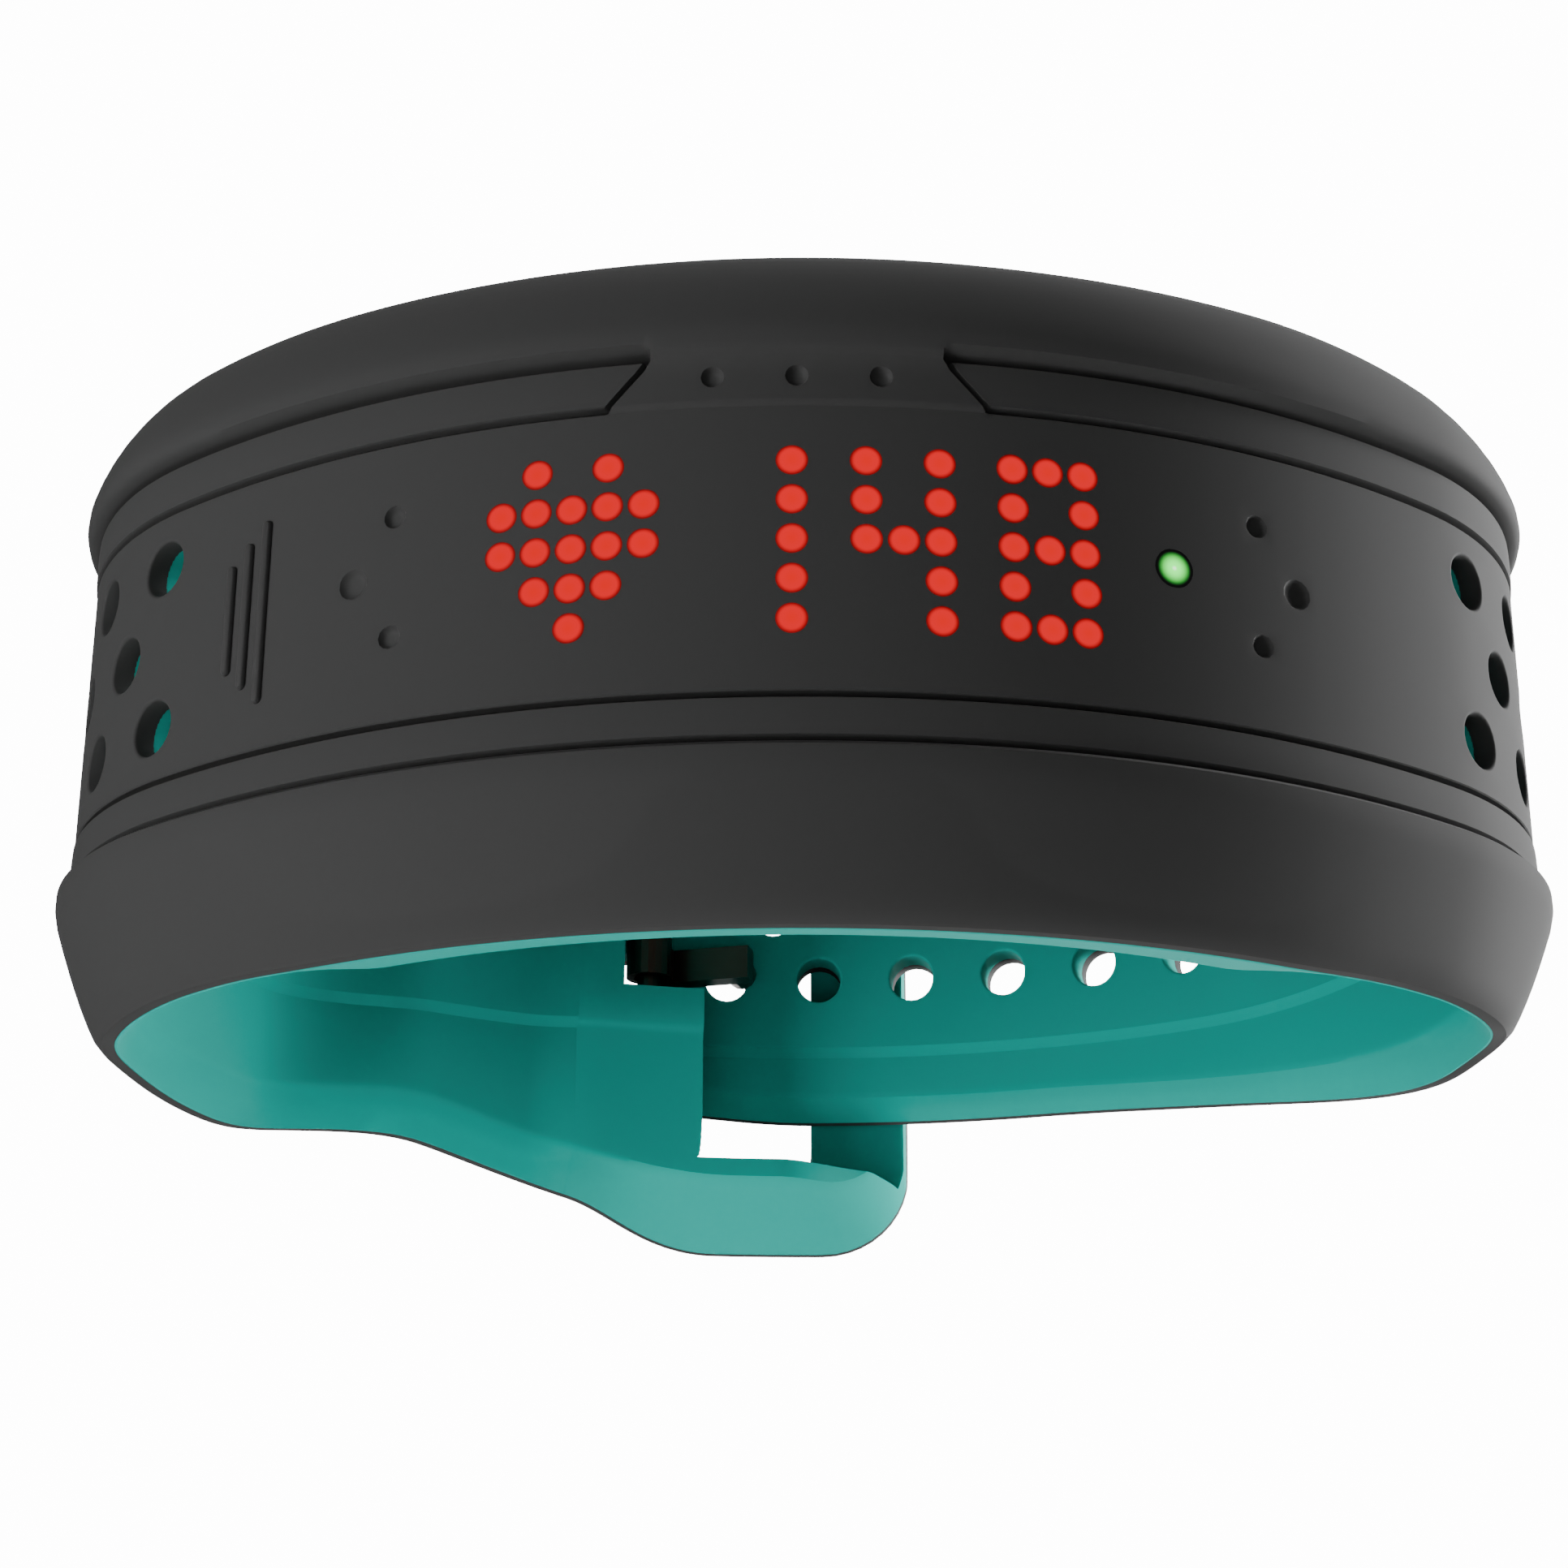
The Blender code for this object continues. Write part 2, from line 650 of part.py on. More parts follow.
def pin_centre():
    return point(-PIN_S, PIN_DEPTH, 0.0)


def pin_solid(name, diameter, half_length, shade):
    return cylinder(name, pin_centre(), (0, 0, 1), 0.5 * diameter, 2.0 * half_length,
                    material(*shade))


def build_clasp():
    """Sleeve, two arms and two pegs, modelled latched and then swung to the rest pose."""
    pin_solid("tang_pin", PIN_DIAMETER, PIN_HALF_LENGTH, DARK_METAL)
    radial = outward(PEG_S)
    along = Vector((-radial.y, radial.x, 0.0))
    pivot = pin_centre()
    mouth = point(PEG_S, STRAP_THICKNESS, 0.0)
    toward_pin = along if along.dot(pivot - mouth) > 0 else -along
    root = mouth + toward_pin * PEG_OFFSET * MM
    arm_line = root - radial * (ARM_CLEAR + 0.5 * ARM_THICKNESS) * MM
    reach = (pivot - arm_line).dot(toward_pin)
    turn = math.atan2(along.y, along.x)

    sleeve = cylinder("tang", pivot, (0, 0, 1), 0.5 * SLEEVE_DIAMETER,
                      2.0 * SLEEVE_HALF_LENGTH, material(*DARK_METAL), 20)
    for side in (1, -1):
        height = Vector((0, 0, side * HOLE_ROW * MM))
        drop = (arm_line - pivot).dot(radial) / MM
        middle = arm_line + toward_pin * 0.5 * reach + height
        width = reach / MM + 1.9
        arm = box(f"tang_arm_{side}", middle, (width, ARM_THICKNESS, ARM_WIDTH), turn,
                  material(*DARK_METAL))
        foot_centre = pivot + radial * 0.5 * drop * MM + height
        foot = box(f"tang_foot_{side}", foot_centre, (1.7, drop, ARM_WIDTH), turn,
                   material(*DARK_METAL))
        length = PEG_ENTRY + ARM_CLEAR + 0.5
        peg_middle = root + radial * (PEG_ENTRY - 0.5 * length) * MM + height
        peg = cylinder(f"tang_peg_{side}", peg_middle, radial, 0.5 * PEG_DIAMETER, length,
                       material(*DARK_METAL))
        for extra in (arm, foot, peg):
            boolean(sleeve, turned(extra, pivot, -REST_OPEN), "UNION")
    bore = pin_solid("tang_bore_cutter", PIN_BORE, SLEEVE_HALF_LENGTH + 1.0, DARK_METAL)
    boolean(sleeve, bore)
    set_origin(sleeve, pivot)


# ---- the pod ----


def build_shell():
    shell = block("display_shell", (-POD_HALF_LENGTH, POD_HALF_LENGTH),
                  (-POD_HALF_HEIGHT, POD_HALF_HEIGHT), (SHELL_DEPTH, COVER_DEPTH - 0.6),
                  material(*SMOKE))
    room = POD_HALF_LENGTH - POD_WALL
    high = POD_HALF_HEIGHT - POD_WALL
    boolean(shell, block("shell_room_cutter", (-room, room), (-high, high),
                         (SHELL_DEPTH + POD_WALL, COVER_DEPTH + 2.0), material(*SMOKE)))
    gasket = block("gasket", (-POD_HALF_LENGTH + 0.2, POD_HALF_LENGTH - 0.2),
                   (-POD_HALF_HEIGHT + 0.2, POD_HALF_HEIGHT - 0.2),
                   (COVER_DEPTH - 0.5, COVER_DEPTH - 0.1), material(*GASKET))
    boolean(gasket, block("gasket_room_cutter", (-room, room), (-high, high),
                          (COVER_DEPTH - 2.0, COVER_DEPTH + 2.0), material(*GASKET)))


def contact_places():
    return [(side * 7.0, z) for side in (-1, 1) for z in (-4.6, 4.6)]


def screw_places():
    return [(side * 17.6, z) for side in (-1, 1) for z in (-6.2, 6.2)]


def flat_post(name, x, z, y_range, radius, shade, segments=16):
    """A cylinder along Y."""
    y0, y1 = y_range
    centre = Vector((x, 0.5 * (y0 + y1), z)) * MM
    return cylinder(name, centre, (0, 1, 0), radius, abs(y1 - y0), shade, segments)


def build_cover():
    cover = block("rear_cover", (-POD_HALF_LENGTH, POD_HALF_LENGTH),
                  (-POD_HALF_HEIGHT, POD_HALF_HEIGHT),
                  (COVER_DEPTH, COVER_DEPTH + COVER_THICKNESS), material(*COVER))
    face_y = plan(0.0, COVER_DEPTH + 0.4)[1]
    middle = Vector((0.0, 0.5 * (face_y + FLAT_Y), 0.0)) * MM
    island = box("cover_island", middle, (2 * FLAT_HALF_WIDTH, FLAT_Y - face_y,
                                          2 * FLAT_HALF_HEIGHT), 0.0, material(*COVER))
    boolean(cover, island, "UNION")
    holes = []
    for x, z in contact_places():
        holes.append(flat_post("post", x, z, (FLAT_Y - 6.0, FLAT_Y + 3.0), 0.95,
                               material(*COVER)))
    holes.append(flat_post("post", 0.0, 0.0, (FLAT_Y - 6.0, FLAT_Y + 3.0), 4.0,
                           material(*COVER), 32))
    boolean(cover, merge("cover_hole_cutter", holes, material(*COVER)))
    seats = []
    for s, z in screw_places():
        seats.append(radial_post("post", s, z, (COVER_DEPTH - 1.0, COVER_DEPTH + 3.0), 0.8,
                                 material(*COVER)))
    boolean(cover, merge("screw_seat_cutter", seats, material(*COVER)))


def build_screws():
    for k, (s, z) in enumerate(screw_places()):
        head = radial_post(f"cover_screw_{k + 1}", s, z,
                           (COVER_DEPTH + 0.3, COVER_DEPTH + COVER_THICKNESS), 0.65,
                           material(*STEEL))
        slot_at = point(s, COVER_DEPTH + COVER_THICKNESS, z)
        radial = outward(s)
        turn = math.atan2(radial.y, radial.x) + math.pi / 2
        slot = box(f"screw_slot_{k + 1}", slot_at, (2.0, 0.4, 0.25), turn, material(*STEEL))
        boolean(head, slot)


def build_sensor():
    """Optical heart-rate sensor on the wrist side."""
    top = FLAT_Y + 0.5
    flat_post("sensor_window", 0.0, 0.0, (FLAT_Y - 0.9, top), 3.7, material(*LENS), 32)
    board_y = FLAT_Y - 2.9
    box("sensor_board", Vector((0.0, board_y, 0.0)) * MM, (11.0, 0.5, 9.6), 0.0,
        material(*GREEN_BOARD))
    for side, name in ((-1, "sensor_led_left"), (1, "sensor_led_right")):
        box(name, Vector((side * 2.6, board_y + 0.75, 0.0)) * MM, (1.1, 0.7, 1.6), 0.0,
            material(*GREEN_LED))
    box("photodiode", Vector((0.0, board_y + 0.75, 0.0)) * MM, (1.8, 0.6, 1.8), 0.0,
        material(*CHIP))
    barrier = flat_post("light_barrier", 0.0, 0.0, (board_y + 0.5, FLAT_Y - 1.1), 1.95,
                        material(*GASKET), 20)
    bore = flat_post("barrier_bore_cutter", 0.0, 0.0, (board_y - 1.0, FLAT_Y + 1.0), 1.5,
                     material(*GASKET), 20)
    boolean(barrier, bore)


def build_contacts():
    for k, (x, z) in enumerate(contact_places()):
        flat_post(f"charge_contact_{k + 1}", x, z, (FLAT_Y - 1.6, FLAT_Y + 0.15), 0.7,
                  material(*GOLD))


def led_lines(centre, pitch, count, end):
    """Grid lines at both edges of each light, with the board's ends."""
    lines = [-end]
    for k in range(count):
        middle = centre + (k - 0.5 * (count - 1)) * pitch
        lines += [middle - 0.5 * LED_SIZE, middle + 0.5 * LED_SIZE]
    return lines + [end]


def build_display():
    """The curved light board, with each light raised from one sheet."""
    columns = led_lines(LED_CENTRE_S, LED_PITCH_S, LED_COLUMNS, 17.5)
    rows = led_lines(0.0, LED_PITCH_Z, LED_ROWS, 5.4)
    front, back = 3.2, 3.2 + BOARD
    builder = bmesh.new()
    layers = []
    for d in (front, back):
        layers.append([[builder.verts.new(point(s, d, z)) for z in rows] for s in columns])
    near, far = layers
    lights = {}
    for i in range(len(columns) - 1):
        for j in range(len(rows) - 1):
            face = builder.faces.new((near[i][j], near[i + 1][j], near[i + 1][j + 1],
                                      near[i][j + 1]))
            if i % 2 == 1 and j % 2 == 1:
                lights[face] = outward(0.5 * (columns[i] + columns[i + 1]))
            builder.faces.new((far[i][j], far[i][j + 1], far[i + 1][j + 1], far[i + 1][j]))
    for i in range(len(columns) - 1):
        for j in (0, len(rows) - 1):
            builder.faces.new((near[i][j], near[i + 1][j], far[i + 1][j], far[i][j]))
    for j in range(len(rows) - 1):
        for i in (0, len(columns) - 1):
            builder.faces.new((near[i][j], near[i][j + 1], far[i][j + 1], far[i][j]))
    for face, away in lights.items():
        raised = bmesh.ops.extrude_discrete_faces(builder, faces=[face])["faces"][0]
        bmesh.ops.translate(builder, vec=away * LED_RISE * MM, verts=raised.verts)
    finish("led_board", builder, material(*RED_LED))
    block("diffuser_film", (-17.8, 17.8), (-6.0, 6.0), (2.35, 2.6), material(*DIFFUSER))


def build_electronics():
    block("battery", (-19.0, -6.9), (-7.2, 7.2), (4.2, 6.9), material(*FOIL))
    block("main_board", (-6.0, 14.6), (-7.6, 7.6), (4.2, 4.2 + BOARD), material(*GREEN_BOARD))
    top = 4.2 + BOARD + 0.2
    block("processor", (9.0, 13.0), (-2.2, 2.2), (top, top + 0.8), material(*CHIP))
    block("radio_chip", (9.0, 12.6), (3.2, 6.6), (top, top + 0.7), material(*CHIP))
    block("memory_chip", (9.4, 12.6), (-6.6, -3.4), (top, top + 0.6), material(*CHIP))
    block("accelerometer", (6.2, 8.2), (5.0, 7.0), (top, top + 0.6), material(*CHIP))
    block("charger_chip", (-5.6, -3.8), (-7.0, -5.4), (top, top + 0.5), material(*CHIP))
    block("antenna", (15.0, 19.2), (6.6, 7.8), (4.2, 5.6), material(*GOLD))
    block("flex_cable", (-6.6, -6.25), (-2.0, 2.0), (4.0, 6.4), material(*AMBER))
    block("left_touch_pad", (-19.2, -17.9), (-3.6, 3.6), (2.4, 2.7), material(*GOLD))
    block("right_touch_pad", (17.9, 19.2), (-3.6, 3.6), (2.4, 2.7), material(*GOLD))
    radial_post("status_led", 14.2, 0.0, (2.7, 3.05), 0.5, material(*GREEN_LED))


def build_motor():
    """Vibration motor: a can on Z with an off-centre weight on its shaft."""
    centre = point(17.0, 5.75, 0.0)
    cylinder("motor_can", centre + Vector((0, 0, -2.6)) * MM, (0, 0, 1), MOTOR_RADIUS, 7.0,
             material(*STEEL), 20)
    weight = cylinder("motor_weight", centre + Vector((0, 0, 2.9)) * MM, (0, 0, 1),
                      MOTOR_RADIUS, 2.8, material(*DARK_METAL), 20)
    cut = box("weight_cutter", centre + Vector((0.0, 1.35, 2.9)) * MM, (5.0, 2.0, 4.0),
              math.atan2(outward(17.0).y, outward(17.0).x) + math.pi / 2, material(*STEEL))
    boolean(weight, cut)
    set_origin(weight, centre)


def main():
    for old in list(bpy.data.objects):
        bpy.data.objects.remove(old)
    build_band_front()
    build_right_strap()
    build_left_strap()
    build_clasp()
    build_shell()
    build_cover()
    build_screws()
    build_sensor()
    build_contacts()
    build_display()
    build_electronics()
    build_motor()


main()
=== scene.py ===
"""Looks of the heart-rate fitness band, built around its fixed frame."""
import math

import bmesh
import bpy
from mathutils import Matrix, Vector


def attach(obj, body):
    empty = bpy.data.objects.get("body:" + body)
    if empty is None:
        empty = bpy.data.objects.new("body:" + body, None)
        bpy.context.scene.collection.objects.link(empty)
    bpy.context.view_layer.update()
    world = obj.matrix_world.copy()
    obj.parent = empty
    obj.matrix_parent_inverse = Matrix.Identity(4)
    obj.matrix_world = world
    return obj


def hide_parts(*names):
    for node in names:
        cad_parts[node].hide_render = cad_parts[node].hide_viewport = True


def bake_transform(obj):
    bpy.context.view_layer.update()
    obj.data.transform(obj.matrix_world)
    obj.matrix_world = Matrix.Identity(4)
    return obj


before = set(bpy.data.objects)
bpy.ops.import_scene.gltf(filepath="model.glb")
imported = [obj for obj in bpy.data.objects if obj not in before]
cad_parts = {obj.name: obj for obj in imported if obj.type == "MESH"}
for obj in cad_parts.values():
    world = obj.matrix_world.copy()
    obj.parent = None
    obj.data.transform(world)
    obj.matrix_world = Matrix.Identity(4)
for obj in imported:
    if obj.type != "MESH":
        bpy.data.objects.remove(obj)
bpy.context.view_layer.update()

bl_info = {
    "name": "Fitness Band Looks",
    "version": (1, 0, 0),
    "blender": (4, 5, 0),
    "location": "3D Viewport > Sidebar > Band",
    "description": "Builds the silicone band, its dot display, clasp and studio",
    "category": "Object",
}

MM = 0.001

# ---- the band's plan, in millimetres, as the frame has it ----
HALF_WIDTH = 32.0
FRONT_REACH = 21.8
BACK_REACH = 26.0
FRONT_CORNER_R = 16.0
BACK_CORNER_R = 23.75
CENTRE_Y = 3.3
SKIN = 0.9
FRONT_HALF_HEIGHT = 14.3
SIDE_HALF_HEIGHT = 12.9
TAIL_HALF_HEIGHT = 10.4
LOOP_HALF_HEIGHT = 17.1
FRONT_THICKNESS = 8.2
SIDE_THICKNESS = 3.6
STRAP_THICKNESS = 2.6
PANEL_HALF_HEIGHT = 6.05
RAIL_LIFT = 0.3            # the upper rail is this much wider than the lower one
UPPER_DROP = -0.6          # the upper rim's shift in front, upward
LOWER_DROP = 0.35          # the lower rim's shift in front, downward
SIDE_DROP = 0.85           # and how much more it is at the sides
BACK_DROP = 0.5            # the lower rim's shift along the tail
LIP_RISE = 0.8
EDGE_DEPTH = 1.7
BACK_EDGE_DEPTH = 0.5
SEAM = 25.9
POD_HALF_LENGTH = 20.85
POD_HALF_HEIGHT = 9.35
TAIL_LENGTH = 21.0
HOLE_RADIUS = 1.2
HOLE_ROW = 3.6
HOLE_PITCH = 5.14
FIRST_PAIR = 30.9          # on the right strap
LEFT_FIRST_PAIR = 29.3
TAIL_PAIRS = 15
LEFT_PAIRS = 6
STEP_IN = 3.3
LOOP_RISE = 6.5
CHANNEL_START = 75.9
RAMP = (75.2, 84.0)
WINDOW = (82.6, 89.0)
WINDOW_HALF_HEIGHT = 14.0
WINDOW_CORNER = 2.6
LOOP_END = 93.75
LOOP_CORNER = 4.2
LOOP_GAP = 0.6
BOSS = 0.7
NOTCH_START = 77.7
NOTCH_HALF_HEIGHT = 5.4
PIN_S = 79.5
PIN_DEPTH = 5.2
PIN_BORE = 1.5
ROW_STEP = 0.6             # spacing of the mesh lines across the panel
COLUMN_STEP = HOLE_PITCH / 8.0
RIGHT_SIDE_HEIGHT = SIDE_HALF_HEIGHT - 0.5
LEFT_SIDE_HEIGHT = SIDE_HALF_HEIGHT + 0.2
TIP_LENGTH = 9.0           # of the tail's rounded end
TIP_SHARE = 0.2            # of the tail's height is left at its very end
FRONT_SLOPE = 3.0          # height of the teal slope inside the rim
SIDE_SLOPE = 1.9
TAIL_SLOPE = 1.1
LOOP_SLOPE = 2.1
BAR_THINNING = BOSS + 2.6  # how much the loop's bar is thinner than its strap


def arc_radius(reach, corner):
    inset = HALF_WIDTH - corner
    return (inset ** 2 + reach ** 2 - corner ** 2) / (2.0 * (reach - corner))


FRONT_R = arc_radius(FRONT_REACH, FRONT_CORNER_R)
BACK_R = arc_radius(BACK_REACH, BACK_CORNER_R)
FRONT_CX = HALF_WIDTH - FRONT_CORNER_R
BACK_CX = HALF_WIDTH - BACK_CORNER_R
FRONT_ANGLE = math.atan2(FRONT_CX, FRONT_R - FRONT_REACH)
BACK_ANGLE = math.atan2(BACK_CX, BACK_R - BACK_REACH)
END_A = FRONT_R * FRONT_ANGLE
END_B = END_A + FRONT_CORNER_R * (math.pi / 2 - FRONT_ANGLE)
END_C = END_B + BACK_CORNER_R * (math.pi / 2 - BACK_ANGLE)
HALF_LENGTH = END_C + BACK_R * BACK_ANGLE
TAIL_END = HALF_LENGTH + TAIL_LENGTH

# ---- where each change begins and ends, as a distance from the middle of the display ----
POD_SHOULDER = (POD_HALF_LENGTH + 0.35, 27.5)
FRONT_TAPER = (20.0, 48.0)
TAIL_TAPER = (46.0, 76.0)
LOOP_FLARE = (59.0, 84.5)
RAIL_FADE = (44.0, 62.0)
THINNING = (50.0, 66.0)
FRONT_SLOPE_END = (POD_HALF_LENGTH, 28.0)
SLOPE_FADE = (46.0, 70.0)
STEP_RAMP = (56.0, HALF_LENGTH - TAIL_LENGTH - 1.0)
BOSS_RAMP = (72.0, 76.5)
BAR_TAPER = (87.0, LOOP_END)
UPPER_DROP_FADE = (32.0, 56.0)
SIDE_DROP_RAMP = (24.0, 38.0)
LEFT_DROP_FADE = (54.0, 68.0)
RIGHT_DROP_FADE = (48.0, 66.0)
TAIL_DROP_FADE = (88.0, 98.0)
LEDGE_RAMP = (27.0, 33.0)
POCKET_FADE = (POD_HALF_LENGTH + 0.1, 27.0)


def plan(s, d=0.0):
    """Plan position at distance s along the band and depth d below its outer surface."""
    side = 1.0 if s >= 0 else -1.0
    run = abs(s)
    if run > HALF_LENGTH:
        run = 2.0 * HALF_LENGTH - run
        side = -side
    if run < END_A:
        angle = run / FRONT_R
        x = (FRONT_R - d) * math.sin(angle)
        y = FRONT_R - FRONT_REACH - (FRONT_R - d) * math.cos(angle)
    elif run < END_B:
        angle = (run - END_A) / FRONT_CORNER_R - (math.pi / 2 - FRONT_ANGLE)
        x = FRONT_CX + (FRONT_CORNER_R - d) * math.cos(angle)
        y = (FRONT_CORNER_R - d) * math.sin(angle)
    elif run < END_C:
        angle = (run - END_B) / BACK_CORNER_R
        x = BACK_CX + (BACK_CORNER_R - d) * math.cos(angle)
        y = (BACK_CORNER_R - d) * math.sin(angle)
    else:
        angle = (HALF_LENGTH - run) / BACK_R
        x = (BACK_R - d) * math.sin(angle)
        y = BACK_REACH - BACK_R + (BACK_R - d) * math.cos(angle)
    return side * x, y - CENTRE_Y


def point(s, d, z):
    x, y = plan(s, d)
    return Vector((x, y, z)) * MM


def ease(value, start, end):
    t = min(1.0, max(0.0, (value - start) / (end - start)))
    return t * t * (3.0 - 2.0 * t)


def relief(s):
    """1 where the rails and lips stand out, 0 where the strap is smooth."""
    return 1.0 - ease(abs(s), *RAIL_FADE)


def half_height(s):
    run = abs(s)
    side = RIGHT_SIDE_HEIGHT if s >= 0 else LEFT_SIDE_HEIGHT
    height = FRONT_HALF_HEIGHT + (side - FRONT_HALF_HEIGHT) * ease(run, *FRONT_TAPER)
    if s >= 0:
        height += (TAIL_HALF_HEIGHT - side) * ease(run, *TAIL_TAPER)
        tip = max(0.0, (run - (TAIL_END - TIP_LENGTH)) / TIP_LENGTH)
        return height * math.sqrt(max(TIP_SHARE ** 2, 1.0 - tip * tip))
    height += (LOOP_HALF_HEIGHT - side) * ease(run, *LOOP_FLARE)
    corner = max(0.0, (run - (LOOP_END - LOOP_CORNER)) / (LOOP_CORNER + 0.05))
    return height - LOOP_CORNER * (1.0 - math.sqrt(1.0 - corner * corner))


def edge_depth(s):
    return BACK_EDGE_DEPTH + (EDGE_DEPTH - BACK_EDGE_DEPTH) * relief(s)


def thickness(s):
    run = abs(s)
    depth = FRONT_THICKNESS + (SIDE_THICKNESS - FRONT_THICKNESS) * ease(run, *POD_SHOULDER)
    return depth + (STRAP_THICKNESS - SIDE_THICKNESS) * ease(run, *THINNING)


def slope_height(s):
    run = abs(s)
    slope = FRONT_SLOPE + (SIDE_SLOPE - FRONT_SLOPE) * ease(run, *FRONT_SLOPE_END)
    last = TAIL_SLOPE if s > 0 else LOOP_SLOPE
    return slope + (last - SIDE_SLOPE) * ease(run, *SLOPE_FADE)


def step_in(s):
    """How far the left strap steps in, so that the tail lies on it."""
    return STEP_IN * ease(-s, *STEP_RAMP)


def outer_depth(s):
    """Depth of the outer face: the left strap steps in, then its loop rises over the tail."""
    return step_in(s) - LOOP_RISE * ease(-s, *RAMP)


def inner_depth(s):
    depth = thickness(s) + step_in(s) + BOSS * ease(-s, *BOSS_RAMP)
    return depth - BAR_THINNING * ease(-s, *BAR_TAPER)


# ---- sizes and colours that a user would change ----


class BandSizes(bpy.types.PropertyGroup):
    groove_depth: bpy.props.FloatProperty(
        name="Groove Depth", description="Depth of the lines beside the rails",
        default=0.6 * MM, min=0.0, subtype="DISTANCE", unit="LENGTH", precision=5)
    dimple_depth: bpy.props.FloatProperty(
        name="Dimple Depth", description="Depth of the touch marks",
        default=0.26 * MM, min=0.0, subtype="DISTANCE", unit="LENGTH", precision=5)
    pad_rise: bpy.props.FloatProperty(
        name="Pad Rise", description="How far the pad over the display stands out",
        default=0.16 * MM, min=0.0, subtype="DISTANCE", unit="LENGTH", precision=5)
    dot_size: bpy.props.FloatProperty(
        name="Dot Size", description="Width of one lit dot",
        default=1.4 * MM, min=0.0, subtype="DISTANCE", unit="LENGTH", precision=5)
    bar_rise: bpy.props.FloatProperty(
        name="Raised Bar Height", description="How far the three bars stand out",
        default=0.2 * MM, min=0.0, subtype="DISTANCE", unit="LENGTH", precision=5)


class BandColours(bpy.types.PropertyGroup):
    black: bpy.props.FloatVectorProperty(
        name="Outer Silicone", description="Colour of the outer layer",
        default=(0.0065, 0.0065, 0.0068), min=0.0, max=1.0, subtype="COLOR")
    teal: bpy.props.FloatVectorProperty(
        name="Inner Silicone", description="Colour of the inner layer",
        default=(0.0, 0.60, 0.50), min=0.0, max=1.0, subtype="COLOR")
    clasp: bpy.props.FloatVectorProperty(
        name="Clasp Metal", description="Colour of the coated clasp",
        default=(0.10, 0.06, 0.05), min=0.0, max=1.0, subtype="COLOR")
    dots: bpy.props.FloatVectorProperty(
        name="Display Dots", description="Colour of the lit dots",
        default=(1.0, 0.012, 0.018), min=0.0, max=1.0, subtype="COLOR")
    status: bpy.props.FloatVectorProperty(
        name="Status Light", description="Colour of the small round light",
        default=(0.10, 1.0, 0.12), min=0.0, max=1.0, subtype="COLOR")


# ---- shared node groups ----


def new_group(name, inputs, outputs):
    found = bpy.data.node_groups.get(name)
    if found:
        return found, None, None
    group = bpy.data.node_groups.new(name, "ShaderNodeTree")
    for label, value in inputs:
        socket = group.interface.new_socket(name=label, in_out="INPUT",
                                            socket_type="NodeSocketFloat")
        socket.default_value = value
    for label in outputs:
        group.interface.new_socket(name=label, in_out="OUTPUT",
                                   socket_type="NodeSocketFloat")
    start = group.nodes.new("NodeGroupInput")
    end = group.nodes.new("NodeGroupOutput")
    return group, start, end


def math_node(tree, operation, first, second):
    node = tree.nodes.new("ShaderNodeMath")
    node.operation = operation
    for socket, value in zip(node.inputs, (first, second)):
        if isinstance(value, bpy.types.NodeSocket):
            tree.links.new(value, socket)
        else:
            socket.default_value = value
    return node.outputs[0]


def noise(tree, vector, scale, detail, roughness=0.55):
    node = tree.nodes.new("ShaderNodeTexNoise")
    node.inputs["Detail"].default_value = detail
    node.inputs["Roughness"].default_value = roughness
    tree.links.new(vector, node.inputs["Vector"])
    if isinstance(scale, bpy.types.NodeSocket):
        tree.links.new(scale, node.inputs["Scale"])
    else:
        node.inputs["Scale"].default_value = scale
    return node.outputs[0]


def grain_group():
    """Fine moulded texture with broad cloudy patches and a few lint specks."""
    group, start, end = new_group(
        "moulded_grain", (("Grain Scale", 2600.0), ("Cloud Scale", 90.0)),
        ("Height", "Clouds", "Specks"))
    if start is None:
        return group
    place = group.nodes.new("ShaderNodeTexCoord").outputs["Object"]
    fine = noise(group, place, start.outputs["Grain Scale"], 3.0, 0.6)
    clouds = noise(group, place, start.outputs["Cloud Scale"], 3.0, 0.5)
    pits = group.nodes.new("ShaderNodeTexVoronoi")
    pits.feature = "F1"
    pits.inputs["Scale"].default_value = 900.0
    pits.inputs["Randomness"].default_value = 1.0
    group.links.new(place, pits.inputs["Vector"])
    near = math_node(group, "LESS_THAN", pits.outputs["Distance"], 0.085)
    rare = math_node(group, "GREATER_THAN", noise(group, place, 260.0, 1.0), 0.6)
    specks = math_node(group, "MULTIPLY", near, rare)
    group.links.new(fine, end.inputs["Height"])
    group.links.new(clouds, end.inputs["Clouds"])
    group.links.new(specks, end.inputs["Specks"])
    return group


def new_material(name):
    made = bpy.data.materials.get(name)
    if made:
        return made, None
    made = bpy.data.materials.new(name)
    made.use_nodes = True
    return made, made.node_tree.nodes["Principled BSDF"]


def mix_colour(tree, mask, first, second):
    node = tree.nodes.new("ShaderNodeMix")
    node.data_type = "RGBA"
    tree.links.new(mask, node.inputs[0])
    for socket, value in ((node.inputs[6], first), (node.inputs[7], second)):
        if isinstance(value, bpy.types.NodeSocket):
            tree.links.new(value, socket)
        else:
            socket.default_value = (*value, 1.0)
    return node.outputs[2]


def remap(tree, value, low, high):
    """Spreads the middle of a noise, where most of its values lie, from low to high."""
    node = tree.nodes.new("ShaderNodeMapRange")
    node.inputs["To Min"].default_value = low
    node.inputs["To Max"].default_value = high
    node.inputs["From Min"].default_value = 0.3
    node.inputs["From Max"].default_value = 0.7
    tree.links.new(value, node.inputs["Value"])
    return node.outputs[0]


